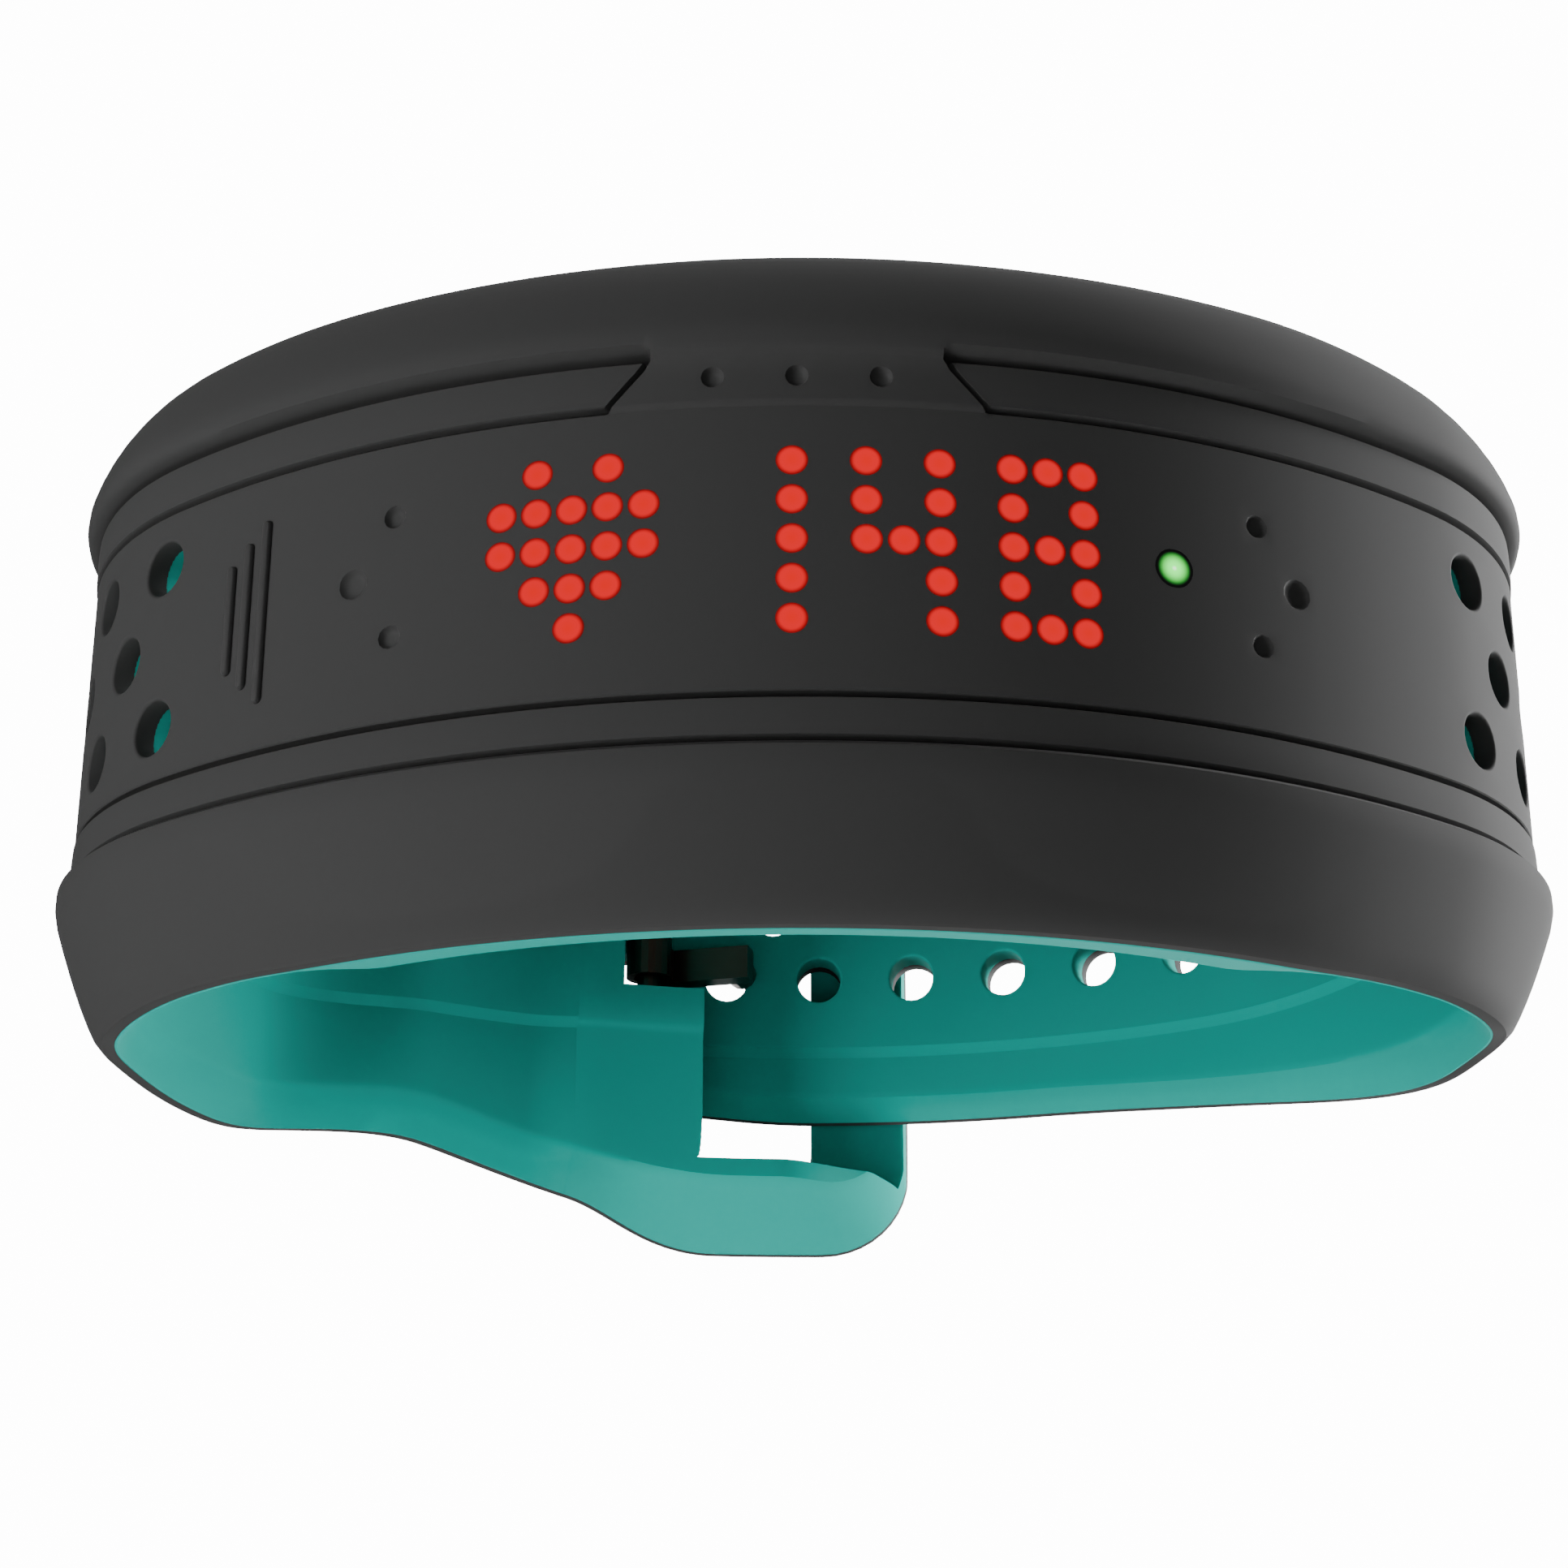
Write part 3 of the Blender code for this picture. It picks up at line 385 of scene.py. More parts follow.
def add_bump(tree, shader, height, strength, distance):
    bump = tree.nodes.new("ShaderNodeBump")
    bump.inputs["Strength"].default_value = strength
    bump.inputs["Distance"].default_value = distance
    tree.links.new(height, bump.inputs["Height"])
    tree.links.new(bump.outputs["Normal"], shader.inputs["Normal"])


LINT_SHARE = 0.25               # how strongly a lint speck tints the surface
GRAIN_DEPTH = 0.00004           # metres
CLOUD_GLOSS = 0.05              # the patches' change in roughness, either way


def moulded(name, colour, rough, grain=2600.0, tint=0.12, specks=(0.1, 0.1, 0.1), metal=0.0,
            bump=0.25):
    """A material with fine grain, cloudy patches in tone and gloss, and lint specks."""
    made, shader = new_material(name)
    if shader is None:
        return made
    tree = made.node_tree
    group = tree.nodes.new("ShaderNodeGroup")
    group.node_tree = grain_group()
    group.inputs["Grain Scale"].default_value = grain
    light = tuple(min(1.0, c * (1.0 + tint)) for c in colour)
    dark = tuple(c * (1.0 - tint) for c in colour)
    cloud = remap(tree, group.outputs["Clouds"], 0.0, 1.0)
    tone = mix_colour(tree, cloud, dark, light)
    lint = tuple((1.0 - LINT_SHARE) * c + LINT_SHARE * s for c, s in zip(colour, specks))
    tone = mix_colour(tree, group.outputs["Specks"], tone, lint)
    tree.links.new(tone, shader.inputs["Base Color"])
    gloss = remap(tree, group.outputs["Clouds"], rough - CLOUD_GLOSS, rough + CLOUD_GLOSS)
    tree.links.new(gloss, shader.inputs["Roughness"])
    shader.inputs["Metallic"].default_value = metal
    add_bump(tree, shader, group.outputs["Height"], bump, GRAIN_DEPTH)
    return made


def colours():
    return bpy.context.scene.band_colours


def sizes():
    return bpy.context.scene.band_sizes


def black_silicone():
    made = moulded("black_silicone", tuple(colours().black), 0.46)
    shader = made.node_tree.nodes["Principled BSDF"]
    shader.inputs["Specular IOR Level"].default_value = 0.3
    return made


def teal_silicone():
    made = moulded("teal_silicone", tuple(colours().teal), 0.55, tint=0.05,
                   specks=(0.06, 0.18, 0.16))
    shader = made.node_tree.nodes["Principled BSDF"]
    shader.inputs["Specular IOR Level"].default_value = 0.08
    shader.inputs["Subsurface Weight"].default_value = 0.12
    shader.inputs["Subsurface Radius"].default_value = (0.0003, 0.0012, 0.0010)
    shader.inputs["Subsurface Scale"].default_value = 1.0
    return made


def clasp_metal():
    return moulded("clasp_metal", tuple(colours().clasp), 0.36, grain=5200.0, tint=0.2,
                   metal=1.0, bump=0.12)


def fade_out(tree, value, start, end):
    """1 up to the start, falling smoothly to 0 at the end."""
    node = tree.nodes.new("ShaderNodeMapRange")
    node.interpolation_type = "SMOOTHSTEP"
    node.inputs["From Min"].default_value = start
    node.inputs["From Max"].default_value = end
    node.inputs["To Min"].default_value = 1.0
    node.inputs["To Max"].default_value = 0.0
    tree.links.new(value, node.inputs["Value"])
    return node.outputs[0]


def glow_material(name, colour, core, strength, inner, outer):
    """A light seen through the skin: bright in the middle, fading into the black layer."""
    made, shader = new_material(name)
    if shader is None:
        return made
    tree = made.node_tree
    place = tree.nodes.new("ShaderNodeUVMap")
    place.uv_map = "dot"
    length = tree.nodes.new("ShaderNodeVectorMath")
    length.operation = "LENGTH"
    tree.links.new(place.outputs["UV"], length.inputs[0])
    fade = fade_out(tree, length.outputs["Value"], inner, outer)
    heart = fade_out(tree, length.outputs["Value"], 0.0, inner)
    lit = mix_colour(tree, heart, colour, core)
    dark = (0.0, 0.0, 0.0)
    glow = mix_colour(tree, fade, dark, lit)
    tree.links.new(glow, shader.inputs["Emission Color"])
    shader.inputs["Emission Strength"].default_value = strength
    base = mix_colour(tree, fade, tuple(colours().black), dark)
    tree.links.new(base, shader.inputs["Base Color"])
    shader.inputs["Roughness"].default_value = 0.6
    shader.inputs["Specular IOR Level"].default_value = 0.0
    return made


# ---- mesh building ----


class Surface:
    """Vertices and faces of one skin, with a material and a region for each face."""

    def __init__(self):
        self.verts = []
        self.faces = []
        self.regions = []

    def vert(self, place):
        self.verts.append(place)
        return len(self.verts) - 1

    def face(self, corners, region):
        self.faces.append(tuple(corners))
        self.regions.append(region)

    def strip(self, first, second, region):
        """Quads between two closed loops of the same length."""
        count = len(first)
        for k in range(count):
            m = (k + 1) % count
            self.face((first[k], first[m], second[m], second[k]), region)


def block_cells(cols, rows):
    """The (column, row) steps round a block of cells."""
    i0, i1 = cols
    k0, k1 = rows
    step = 1 if k1 > k0 else -1
    walk = [(i, k0) for i in range(i0, i1)]
    walk += [(i1, k) for k in range(k0, k1, step)]
    walk += [(i, k1) for i in range(i1, i0, -1)]
    walk += [(i0, k) for k in range(k1, k0, -step)]
    return walk


def block_edge(rings, cols, rows):
    """Vertices round a block of cells, as a closed loop."""
    return [rings[i][k] for i, k in block_cells(cols, rows)]


def round_angles(flat, centre, evenness=0.75):
    """Angles for a circle's points, between those of its block's edge and even spacing."""
    raw = [math.atan2(z - centre[1], s - centre[0]) for s, z in flat]
    spin = 1.0 if (raw[1] - raw[0]) % (2 * math.pi) < math.pi else -1.0
    total = [raw[0]]
    for before, after in zip(raw, raw[1:]):
        total.append(total[-1] + spin * ((spin * (after - before)) % (2 * math.pi)))
    count = len(total)
    even = [spin * 2 * math.pi * k / count for k in range(count)]
    offset = sum(a - b for a, b in zip(total, even)) / count
    return [a * (1 - evenness) + (b + offset) * evenness for a, b in zip(total, even)]


def circle_loop(surface, centre, radius, angles, place):
    loop = []
    for angle in angles:
        s = centre[0] + radius * math.cos(angle)
        z = centre[1] + radius * math.sin(angle)
        loop.append(surface.vert(place(s, z)))
    return loop


def nearest(values, wanted):
    return min(range(len(values)), key=lambda k: abs(values[k] - wanted))


def shade_all_smooth(mesh):
    for poly in mesh.polygons:
        poly.use_smooth = True


CRISP = 38.0                    # degrees: edges that turn further than this look sharp


def object_from(name, verts, faces, shade, normals=None):
    mesh = bpy.data.meshes.new(name)
    mesh.from_pydata([tuple(v) for v in verts], [], faces)
    mesh.materials.append(shade)
    mesh.validate()
    shade_all_smooth(mesh)
    made = bpy.data.objects.new(name, mesh)
    bpy.context.scene.collection.objects.link(made)
    if normals is not None:
        mesh.normals_split_custom_set(normals)
    else:
        mark_sharp(mesh, CRISP)
    return made


def mark_sharp(mesh, angle):
    """Sharp edges where two faces meet at more than the angle, in degrees."""
    builder = bmesh.new()
    builder.from_mesh(mesh)
    limit = math.radians(angle)
    for edge in builder.edges:
        edge.smooth = len(edge.link_faces) == 2 and edge.calc_face_angle(4.0) < limit
    builder.to_mesh(mesh)
    builder.free()


def outward_mesh(verts, faces):
    """The faces turned so that all of them point out of the closed skin."""
    builder = bmesh.new()
    made = [builder.verts.new(v) for v in verts]
    for corners in faces:
        builder.faces.new([made[c] for c in corners])
    builder.verts.index_update()
    bmesh.ops.recalc_face_normals(builder, faces=builder.faces)
    result = [tuple(v.index for v in face.verts) for face in builder.faces]
    builder.free()
    return result


def split_regions(name_of, surface, rings, seams, shade, crisp=CRISP):
    """Cuts one skin into its regions. Each piece keeps the shading of the whole."""
    faces = outward_mesh(surface.verts, surface.faces)
    whole = bpy.data.meshes.new("whole")
    whole.from_pydata([tuple(v) for v in surface.verts], [], faces)
    shade_all_smooth(whole)
    mark_sharp(whole, crisp)
    shading = [n.vector.copy() for n in whole.corner_normals]
    made = {}
    for region in sorted(set(surface.regions)):
        used = {}
        verts, piece_faces, normals = [], [], []
        for poly, face_region in zip(whole.polygons, surface.regions):
            if face_region != region:
                continue
            corners = []
            for corner, loop in zip(poly.vertices, poly.loop_indices):
                if corner not in used:
                    used[corner] = len(verts)
                    verts.append(surface.verts[corner])
                corners.append(used[corner])
                normals.append(shading[loop])
            piece_faces.append(tuple(corners))
        for seam in seams:
            ring = rings[seam]
            if all(v in used for v in ring):
                cap = [used[v] for v in ring]
                flat = cap_normal([surface.verts[v] for v in ring])
                others = sum((Vector(verts[v]) for v in used.values()), Vector()) / len(used)
                away = surface.verts[ring[0]] - others
                if flat.dot(away) < 0:
                    cap.reverse()
                    flat = -flat
                piece_faces.append(tuple(cap))
                normals += [flat] * len(cap)
        made[region] = object_from(name_of[region], verts, piece_faces, shade, normals)
    bpy.data.meshes.remove(whole)
    return made


def cap_normal(places):
    total = Vector()
    for a, b in zip(places, places[1:] + places[:1]):
        total += a.cross(b)
    return total.normalized()


# ---- the lines that the mesh follows ----


PAD_CENTRE = -0.4
PAD_HALF = 7.5
PAD_SLANT = 1.7
PAD_GROOVE = 0.16
PAD_FOOT = (5.99, 6.13)         # heights between which the pad rises out of the panel
PAD_TOP = (7.7, 8.66)           # and between which it runs into the bevel
PAD_STILL = 4.2                 # columns this near the pad's middle stay straight
LEAN_REACH = 13.0               # and so do those this far from it
LEAN_TOP = 8.0                  # height where the slanted ends lean furthest
LEAN_MARGIN = 0.35
DIMPLES = (-3.3, 0.0, 3.3)      # along the pad from its centre
DIMPLE_Z = 7.25
DIMPLE_RADIUS = 0.46
TOUCH_MARKS = ((-18.6, 0.2, 0.66), (-16.8, 2.8, 0.5), (-16.8, -2.4, 0.5),
               (20.4, 0.2, 0.66), (18.6, 2.8, 0.5), (18.6, -2.4, 0.5))
DIMPLE_COLUMN = 0.4             # spacing of the mesh lines across a dimple
MARK_COLUMN = 0.45              # and across a touch mark
FRONT_COLUMN = 0.7              # and elsewhere in front
COLUMN_GAP = 0.42               # the least space between a filled-in line and the others
PANEL_ROWS = 10                 # from the middle row to the first rail
FIRST_RAIL = PANEL_ROWS         # row index of the first of band_rows
LOW_LINE = (6.03, 6.22)         # heights of the two edges of the line under the rail
HIGH_LINE = (7.87, 8.06)
RAIL_RISE = 0.06
RAIL_CROWN = 0.03               # how much higher the middle of the rail is than its edges
LINE_SHOULDER = 0.05            # depth of the softened edge of a line
LIP_FOOT = 0.72                 # share of the lip's rise at the last of band_rows
BEVEL_SHARES = (0.08, 0.18, 0.32, 0.46, 0.6, 0.72, 0.83, 0.92)
CREST_LENGTH = 0.18             # share of the bevel over which the lip reaches its crest
UPPER_STRAIGHT = 0.3            # 0 is a round bevel, 1 a straight one
LOWER_STRAIGHT = 0.75
RAIL_LIFT_START = (6.3, 7.8)
RAIL_LIFT_END = 9.0
SHELF_Z = 8.3                   # height of the last row behind the panel
LAYER_GAP = 0.02
SKIN_BACK = SKIN + 0.05         # depth of the black layer's back behind the panel
RIM_WRAP = 0.7                  # how far the black layer reaches round the rim
LEDGE = 0.3                     # depth of the step along the straps' inner face
LEDGE_Z = 7.6


def filled_columns(marks):
    """The marks in order, with even columns wherever they leave room."""
    fill = [round(-SEAM + FRONT_COLUMN * k, 4) for k in range(round(2 * SEAM / FRONT_COLUMN))]
    return sorted(marks | {f for f in fill if all(abs(f - m) > COLUMN_GAP for m in marks)})


def front_columns():
    marks = {-SEAM, SEAM, -POD_HALF_LENGTH, POD_HALF_LENGTH}
    for k in range(-2, 3):
        marks |= {round(PAD_CENTRE + offset + DIMPLE_COLUMN * k, 4) for offset in DIMPLES}
        marks |= {round(mark[0] + MARK_COLUMN * k, 4) for mark in TOUCH_MARKS}
    for side in (-1, 1):
        for at in (-0.3, -0.5 * PAD_GROOVE, 0.5 * PAD_GROOVE, 0.3):
            marks.add(round(PAD_CENTRE + side * PAD_HALF + at, 4))
    return filled_columns(marks)


def strap_columns(end, pair=FIRST_PAIR):
    first = pair - 0.5 * HOLE_PITCH
    marks = [SEAM + (first - SEAM) * k / 4.0 for k in range(1, 4)]
    s = first
    while s < end - 0.35:
        marks.append(s)
        s += COLUMN_STEP
    marks.append(end)
    return [round(m, 5) for m in marks]


def tail_columns():
    marks = [m for m in strap_columns(TAIL_END) if m < TAIL_END - 2.2]
    return marks + [TAIL_END - 2.2 * (1 - math.sin(math.pi / 2 * k / 6)) for k in range(7)]


def panel_rows():
    """Heights of the rows of the perforated panel, upper half."""
    return [round(ROW_STEP * k, 4) for k in range(PANEL_ROWS)]


def band_rows(strength, groove):
    """(depth, height) of the rails and lip above the panel."""
    deep = groove * strength
    edge = LINE_SHOULDER * strength
    rail = -RAIL_RISE * strength
    crown = -RAIL_CROWN * strength
    lip = -LIP_RISE * strength
    rows = [(0.0, 5.72), (0.0, 5.95), (edge, 6.0), (deep, LOW_LINE[0]), (deep, LOW_LINE[1])]
    rows += [(edge, 6.25), (rail, 6.31), (rail + crown * 2 / 3, 6.68), (rail + crown, 7.05)]
    rows += [(rail + crown * 2 / 3, 7.42), (rail, 7.78), (edge, 7.84), (deep, HIGH_LINE[0])]
    rows += [(deep, HIGH_LINE[1]), (0.1 * lip, 8.09), (0.45 * lip, 8.18)]
    return rows + [(LIP_FOOT * lip, 8.36)]


def pad_depth(z, rise):
    """Depth of the pad's surface, which runs up into the bevel."""
    return -rise * ease(z, *PAD_FOOT) - (LIP_FOOT * LIP_RISE - rise) * ease(z, *PAD_TOP)


def column_shift(u, z):
    """The pad's slanted ends pull the columns beside them along."""
    if z <= PANEL_HALF_HEIGHT:
        return 0.0
    off = u - PAD_CENTRE
    reach = abs(off)
    near = (reach - PAD_STILL) / (PAD_HALF - LEAN_MARGIN - PAD_STILL)
    far = (LEAN_REACH - reach) / (LEAN_REACH - PAD_HALF - LEAN_MARGIN)
    share = max(0.0, min(near, far, 1.0))
    lean = min(1.0, (z - PANEL_HALF_HEIGHT) / (LEAN_TOP - PANEL_HALF_HEIGHT))
    return -math.copysign(PAD_SLANT * share * lean, off)


def rim_shift(s, upper):
    """How much further out than the even height each rim runs."""
    run = abs(s)
    if upper:
        return UPPER_DROP * (1.0 - ease(run, *UPPER_DROP_FADE))
    drop = LOWER_DROP + SIDE_DROP * ease(run, *SIDE_DROP_RAMP)
    if s < 0:
        return drop * (1.0 - ease(run, *LEFT_DROP_FADE))
    drop += (BACK_DROP - drop) * ease(run, *RIGHT_DROP_FADE)
    return drop - BACK_DROP * ease(run, *TAIL_DROP_FADE)


def outer_half(u, groove, rise, upper):
    """Half of the outer outline at column u: (s, depth, height) from the middle row out."""
    strength = relief(u)
    rim = half_height(u)
    scale = min(1.0, rim / TAIL_HALF_HEIGHT)
    rim += rim_shift(u, upper)
    rows = [(0.0, z) for z in panel_rows()] + band_rows(strength, groove)
    lip_z = rows[-1][1]
    fall = edge_depth(u)
    straight = (UPPER_STRAIGHT if upper else LOWER_STRAIGHT) * strength
    for k in BEVEL_SHARES:
        below = (1.0 - LIP_FOOT) * max(0.0, 1.0 - k / CREST_LENGTH) ** 2
        crest = -LIP_RISE * strength * (1.0 - below)
        round_share = (1.0 - math.sqrt(1.0 - 0.96 * k * k)) / 0.8
        share = round_share + (k - round_share) * straight
        rows.append((crest + (fall - crest) * share, lip_z + (rim / scale - lip_z) * k))
    line = []
    gap = abs(u - PAD_CENTRE)
    if upper:
        rows = [(d, z + RAIL_LIFT * ease(z, *RAIL_LIFT_START)
                 * (1.0 - ease(z, RAIL_LIFT_END, rim))) for d, z in rows]
    for d, z in rows:
        if upper and z < 8.8 and gap < PAD_HALF + 0.3:
            if gap < PAD_HALF - 0.45 * PAD_GROOVE - 0.001:
                d = pad_depth(z, rise)
            elif gap < PAD_HALF + 0.55 * PAD_GROOVE and LOW_LINE[0] < z < 8.4:
                d = groove
        shift = column_shift(u, z) if upper else 0.0
        line.append((u + shift, d + outer_depth(u), z * scale))
    fall += outer_depth(u)
    line += [(u, fall - 0.02, rim - 0.12), (u, fall + 0.12, rim)]
    return line


def skin_loop(u, groove, rise):
    """The whole outline of the black layer at column u."""
    upper = outer_half(u, groove, rise, True)
    lower = outer_half(u, groove, rise, False)
    loop = [(s, d, -z) for s, d, z in reversed(lower[1:])] + upper
    scale = min(1.0, half_height(u) / TAIL_HALF_HEIGHT)
    base = SKIN_BACK + outer_depth(u)
    rim_d = edge_depth(u) + outer_depth(u) + RIM_WRAP
    halves = []
    for is_upper in (True, False):
        rim = half_height(u) + rim_shift(u, is_upper)
        half = [(u, base, z * scale) for z in panel_rows()]
        half += [(u, base, SHELF_Z * scale), (u, rim_d, rim - 0.02), (u, rim_d - 0.15, rim)]
        halves.append(half)
    loop += list(reversed(halves[0]))
    loop += [(s, d, -z) for s, d, z in halves[1][1:]]
    return loop


RIM_SHARES = (0.06, 0.35, 0.7, 1.0)
SLOPE_SHARES = (0.4, 0.75, 0.92)


def core_half(u, upper):
    """Half of the teal layer's outline: out along the black layer, back along the wrist."""
    scale = min(1.0, half_height(u) / TAIL_HALF_HEIGHT)
    rim = half_height(u) + rim_shift(u, upper)
    off = outer_depth(u)
    base = SKIN + LAYER_GAP + off
    rim_d = edge_depth(u) + RIM_WRAP - LAYER_GAP + off
    deep = inner_depth(u)
    slope = min(slope_height(u), 0.45 * rim)
    ledge = LEDGE * ease(abs(u), *LEDGE_RAMP)
    full = 1.0 - ease(abs(u), *POCKET_FADE)
    mid_d, mid_z = 0.5 * (rim_d + deep), rim - 0.5 * slope
    mid_d += (deep - 1.8 - mid_d) * full
    mid_z += (rim - 0.35 * slope - mid_z) * full
    top = SHELF_Z * scale
    half = [(base, z * scale) for z in panel_rows()]
    half += [(base, top + (POD_HALF_HEIGHT - top) * full)]
    half += [(rim_d, rim - 0.01), (rim_d + 0.1, rim)]
    for k in RIM_SHARES:
        half.append((rim_d + 0.1 + (mid_d - rim_d - 0.1) * k, rim + (mid_z - rim) * k))
    for k in SLOPE_SHARES:
        half.append((mid_d + (deep - ledge - mid_d) * k, mid_z + (rim - slope - mid_z) * k))
    shelf = rim - slope
    step_z = min(LEDGE_Z * scale, shelf - 0.5)
    pocket_z = shelf - 0.3 + (POD_HALF_HEIGHT - shelf + 0.3) * full
    half += [(deep - ledge, shelf - 0.12), (deep - ledge, pocket_z)]
    half += [(deep - ledge, step_z + 0.15), (deep - 0.5 * ledge, step_z - 0.1)]
    half += [(deep, step_z - 0.35)]
    return half + [(deep, z * scale) for z in reversed(panel_rows())]


def core_loop(u):
    """The whole outline of the teal layer at column u."""
    upper = [(u, d, z) for d, z in core_half(u, True)]
    lower = [(u, d, -z) for d, z in core_half(u, False)]
    return upper + list(reversed(lower[1:-1]))


CORE_OUT = PANEL_ROWS           # outer row at the pocket's edge
CORE_IN = PANEL_ROWS + 3 + len(RIM_SHARES) + len(SLOPE_SHARES) + 1      # and inner row


def strap_holes(side):
    """(s, z, block rows) of each hole on one strap."""
    pairs = TAIL_PAIRS if side > 0 else LEFT_PAIRS
    first = FIRST_PAIR if side > 0 else LEFT_FIRST_PAIR
    places = []
    for k in range(pairs):
        s = side * (first + k * HOLE_PITCH)
        places += [(s, HOLE_ROW, (1.8, 5.4)), (s, -HOLE_ROW, (-5.4, -1.8))]
        if k < pairs - 1:
            places.append((s + side * 0.5 * HOLE_PITCH, 0.0, (-1.8, 1.8)))
    return places


def region_of(u):
    if u < -SEAM:
        return "left"
    return "front" if u < SEAM else "right"


def sweep_surface(columns, loops, skip):
    """Rings at every column with quads between them, leaving the skipped cells open."""
    surface = Surface()
    rings = []
    for loop in loops:
        rings.append([surface.vert(point(s, d, z)) for s, d, z in loop])
    count = len(rings[0])
    for i in range(len(columns) - 1):
        region = region_of(0.5 * (columns[i] + columns[i + 1]))
        for k in range(count):
            if (i, k) in skip:
                continue
            m = (k + 1) % count
            surface.face((rings[i][k], rings[i][m], rings[i + 1][m], rings[i + 1][k]),
                         region)
    surface.face(list(reversed(rings[0])), region_of(columns[0]))
    surface.face(rings[-1], region_of(columns[-1]))
    return surface, rings


def cells(cols, rows):
    low, high = min(rows), max(rows)
    return {(i, k) for i in range(cols[0], cols[1]) for k in range(low, high)}


def hole_blocks(columns, row_at):
    """Every hole with its block of cells on the outer and the inner face."""
    blocks = []
    for side in (-1, 1):
        for s, z, span in strap_holes(side):
            i0 = nearest(columns, s - 0.5 * HOLE_PITCH)
            i1 = nearest(columns, s + 0.5 * HOLE_PITCH)
            outer = (row_at(span[0], "out"), row_at(span[1], "out"))
            inner = (row_at(span[0], "in"), row_at(span[1], "in"))
            blocks.append((s, z, (i0, i1), outer, inner))
    return blocks


HOLE_FILLET = 0.12
HOLE_MARGIN = 0.16              # width of the first ring of faces round a hole
SOFT_EDGE = ((1.0, 0.0), (0.6, 0.12), (0.25, 0.42), (0.0, 1.0))
PLAIN_EDGE = ((0.0, 0.0),)
BOWL = ((1.1, 0.0), (1.0, 0.02), (0.9, 0.3), (0.75, 0.72), (0.5, 0.95), (0.22, 1.0))


def open_hole(surface, rings, loops, block, outer_d, inner_d, fillets):
    """Rings from the block's edge to the hole, down its wall and out on the other face."""
    s, z, cols, outer, inner = block
    region = region_of(s)
    off = step_in(s)
    edge = block_edge(rings, cols, outer)
    flat = [(loops[i][k][0], loops[i][k][2]) for i, k in block_cells(cols, outer)]
    angles = round_angles(flat, (s, z))
    levels = [(HOLE_RADIUS + HOLE_MARGIN, outer_d)]
    levels += [(HOLE_RADIUS + HOLE_FILLET * r, outer_d + HOLE_FILLET * f) for r, f in fillets[0]]
    levels += [(HOLE_RADIUS + HOLE_FILLET * r, inner_d - HOLE_FILLET * f) for r, f in fillets[1]]
    levels.append((HOLE_RADIUS + HOLE_MARGIN, inner_d))
    before = edge
    for radius, depth in levels:
        loop = circle_loop(surface, (s, z), radius, angles,
                           lambda a, b, depth=depth: point(a, depth + off, b))
        surface.strip(before, loop, region)
        before = loop
    surface.strip(before, block_edge(rings, cols, inner), region)


def press_dimple(surface, rings, loops, cols, rows, centre, radius, base, depth):
    """A shallow bowl with a soft rim."""
    edge = block_edge(rings, cols, rows)
    flat = [(loops[i][k][0], loops[i][k][2]) for i, k in block_cells(cols, rows)]
    angles = round_angles(flat, centre)
    before = edge
    for share, down in BOWL:
        loop = circle_loop(surface, centre, radius * share, angles,
                           lambda a, b, down=down: point(a, base(b) + depth * down, b))
        surface.strip(before, loop, "front")
        before = loop
    middle = surface.vert(point(centre[0], base(centre[1]) + depth, centre[1]))
    for k in range(len(before)):
        surface.face((before[k], before[(k + 1) % len(before)], middle), "front")


def build_skin():
    """Black layer: display front, rails, bevels, touch marks and perforated straps."""
    groove = sizes().groove_depth / MM
    rise = sizes().pad_rise / MM
    dimple = sizes().dimple_depth / MM
    left = [-s for s in reversed(strap_columns(LOOP_SEAM, LEFT_FIRST_PAIR))]
    columns = [c for c in left if c < -SEAM] + front_columns() + tail_columns()
    loops = [skin_loop(u, groove, rise) for u in columns]
    half = len(outer_half(SEAM, groove, rise, True))
    total = len(loops[0])
    inner_middle = (2 * half - 2 + total) // 2

    def row_at(z, face):
        step = round(z / ROW_STEP)
        return half - 1 + step if face == "out" else inner_middle - step

    skip = set()
    blocks = hole_blocks(columns, row_at)
    for _, _, cols, outer, inner in blocks:
        skip |= cells(cols, outer) | cells(cols, inner)
    bowls = []
    for s, z, radius in TOUCH_MARKS:
        cols = (nearest(columns, s - 0.9), nearest(columns, s + 0.9))
        reach = 1.2 if z == 0.0 else 0.8
        rows = (row_at(z - reach, "out"), row_at(z + reach, "out"))
        bowls.append((cols, rows, (s, z), radius, lambda b: 0.0))
    first = half - 1 + FIRST_RAIL
    for offset in DIMPLES:
        s = PAD_CENTRE + offset
        cols = (nearest(columns, s - 0.8), nearest(columns, s + 0.8))
        bowls.append((cols, (first + 6, first + 10), (s, DIMPLE_Z), DIMPLE_RADIUS,
                      lambda b: pad_depth(b, rise)))
    for cols, rows, _, _, _ in bowls:
        skip |= cells(cols, rows)
    surface, rings = sweep_surface(columns, loops, skip)
    for block in blocks:
        open_hole(surface, rings, loops, block, 0.0, SKIN_BACK, (SOFT_EDGE, PLAIN_EDGE))
    for cols, rows, centre, radius, base in bowls:
        press_dimple(surface, rings, loops, cols, rows, centre, radius, base, dimple)
    seams = [nearest(columns, -SEAM), nearest(columns, SEAM)]
    names = {"left": "strap_skin_left", "front": "skin_front", "right": "strap_skin_right"}
    return split_regions(names, surface, rings, seams, black_silicone())


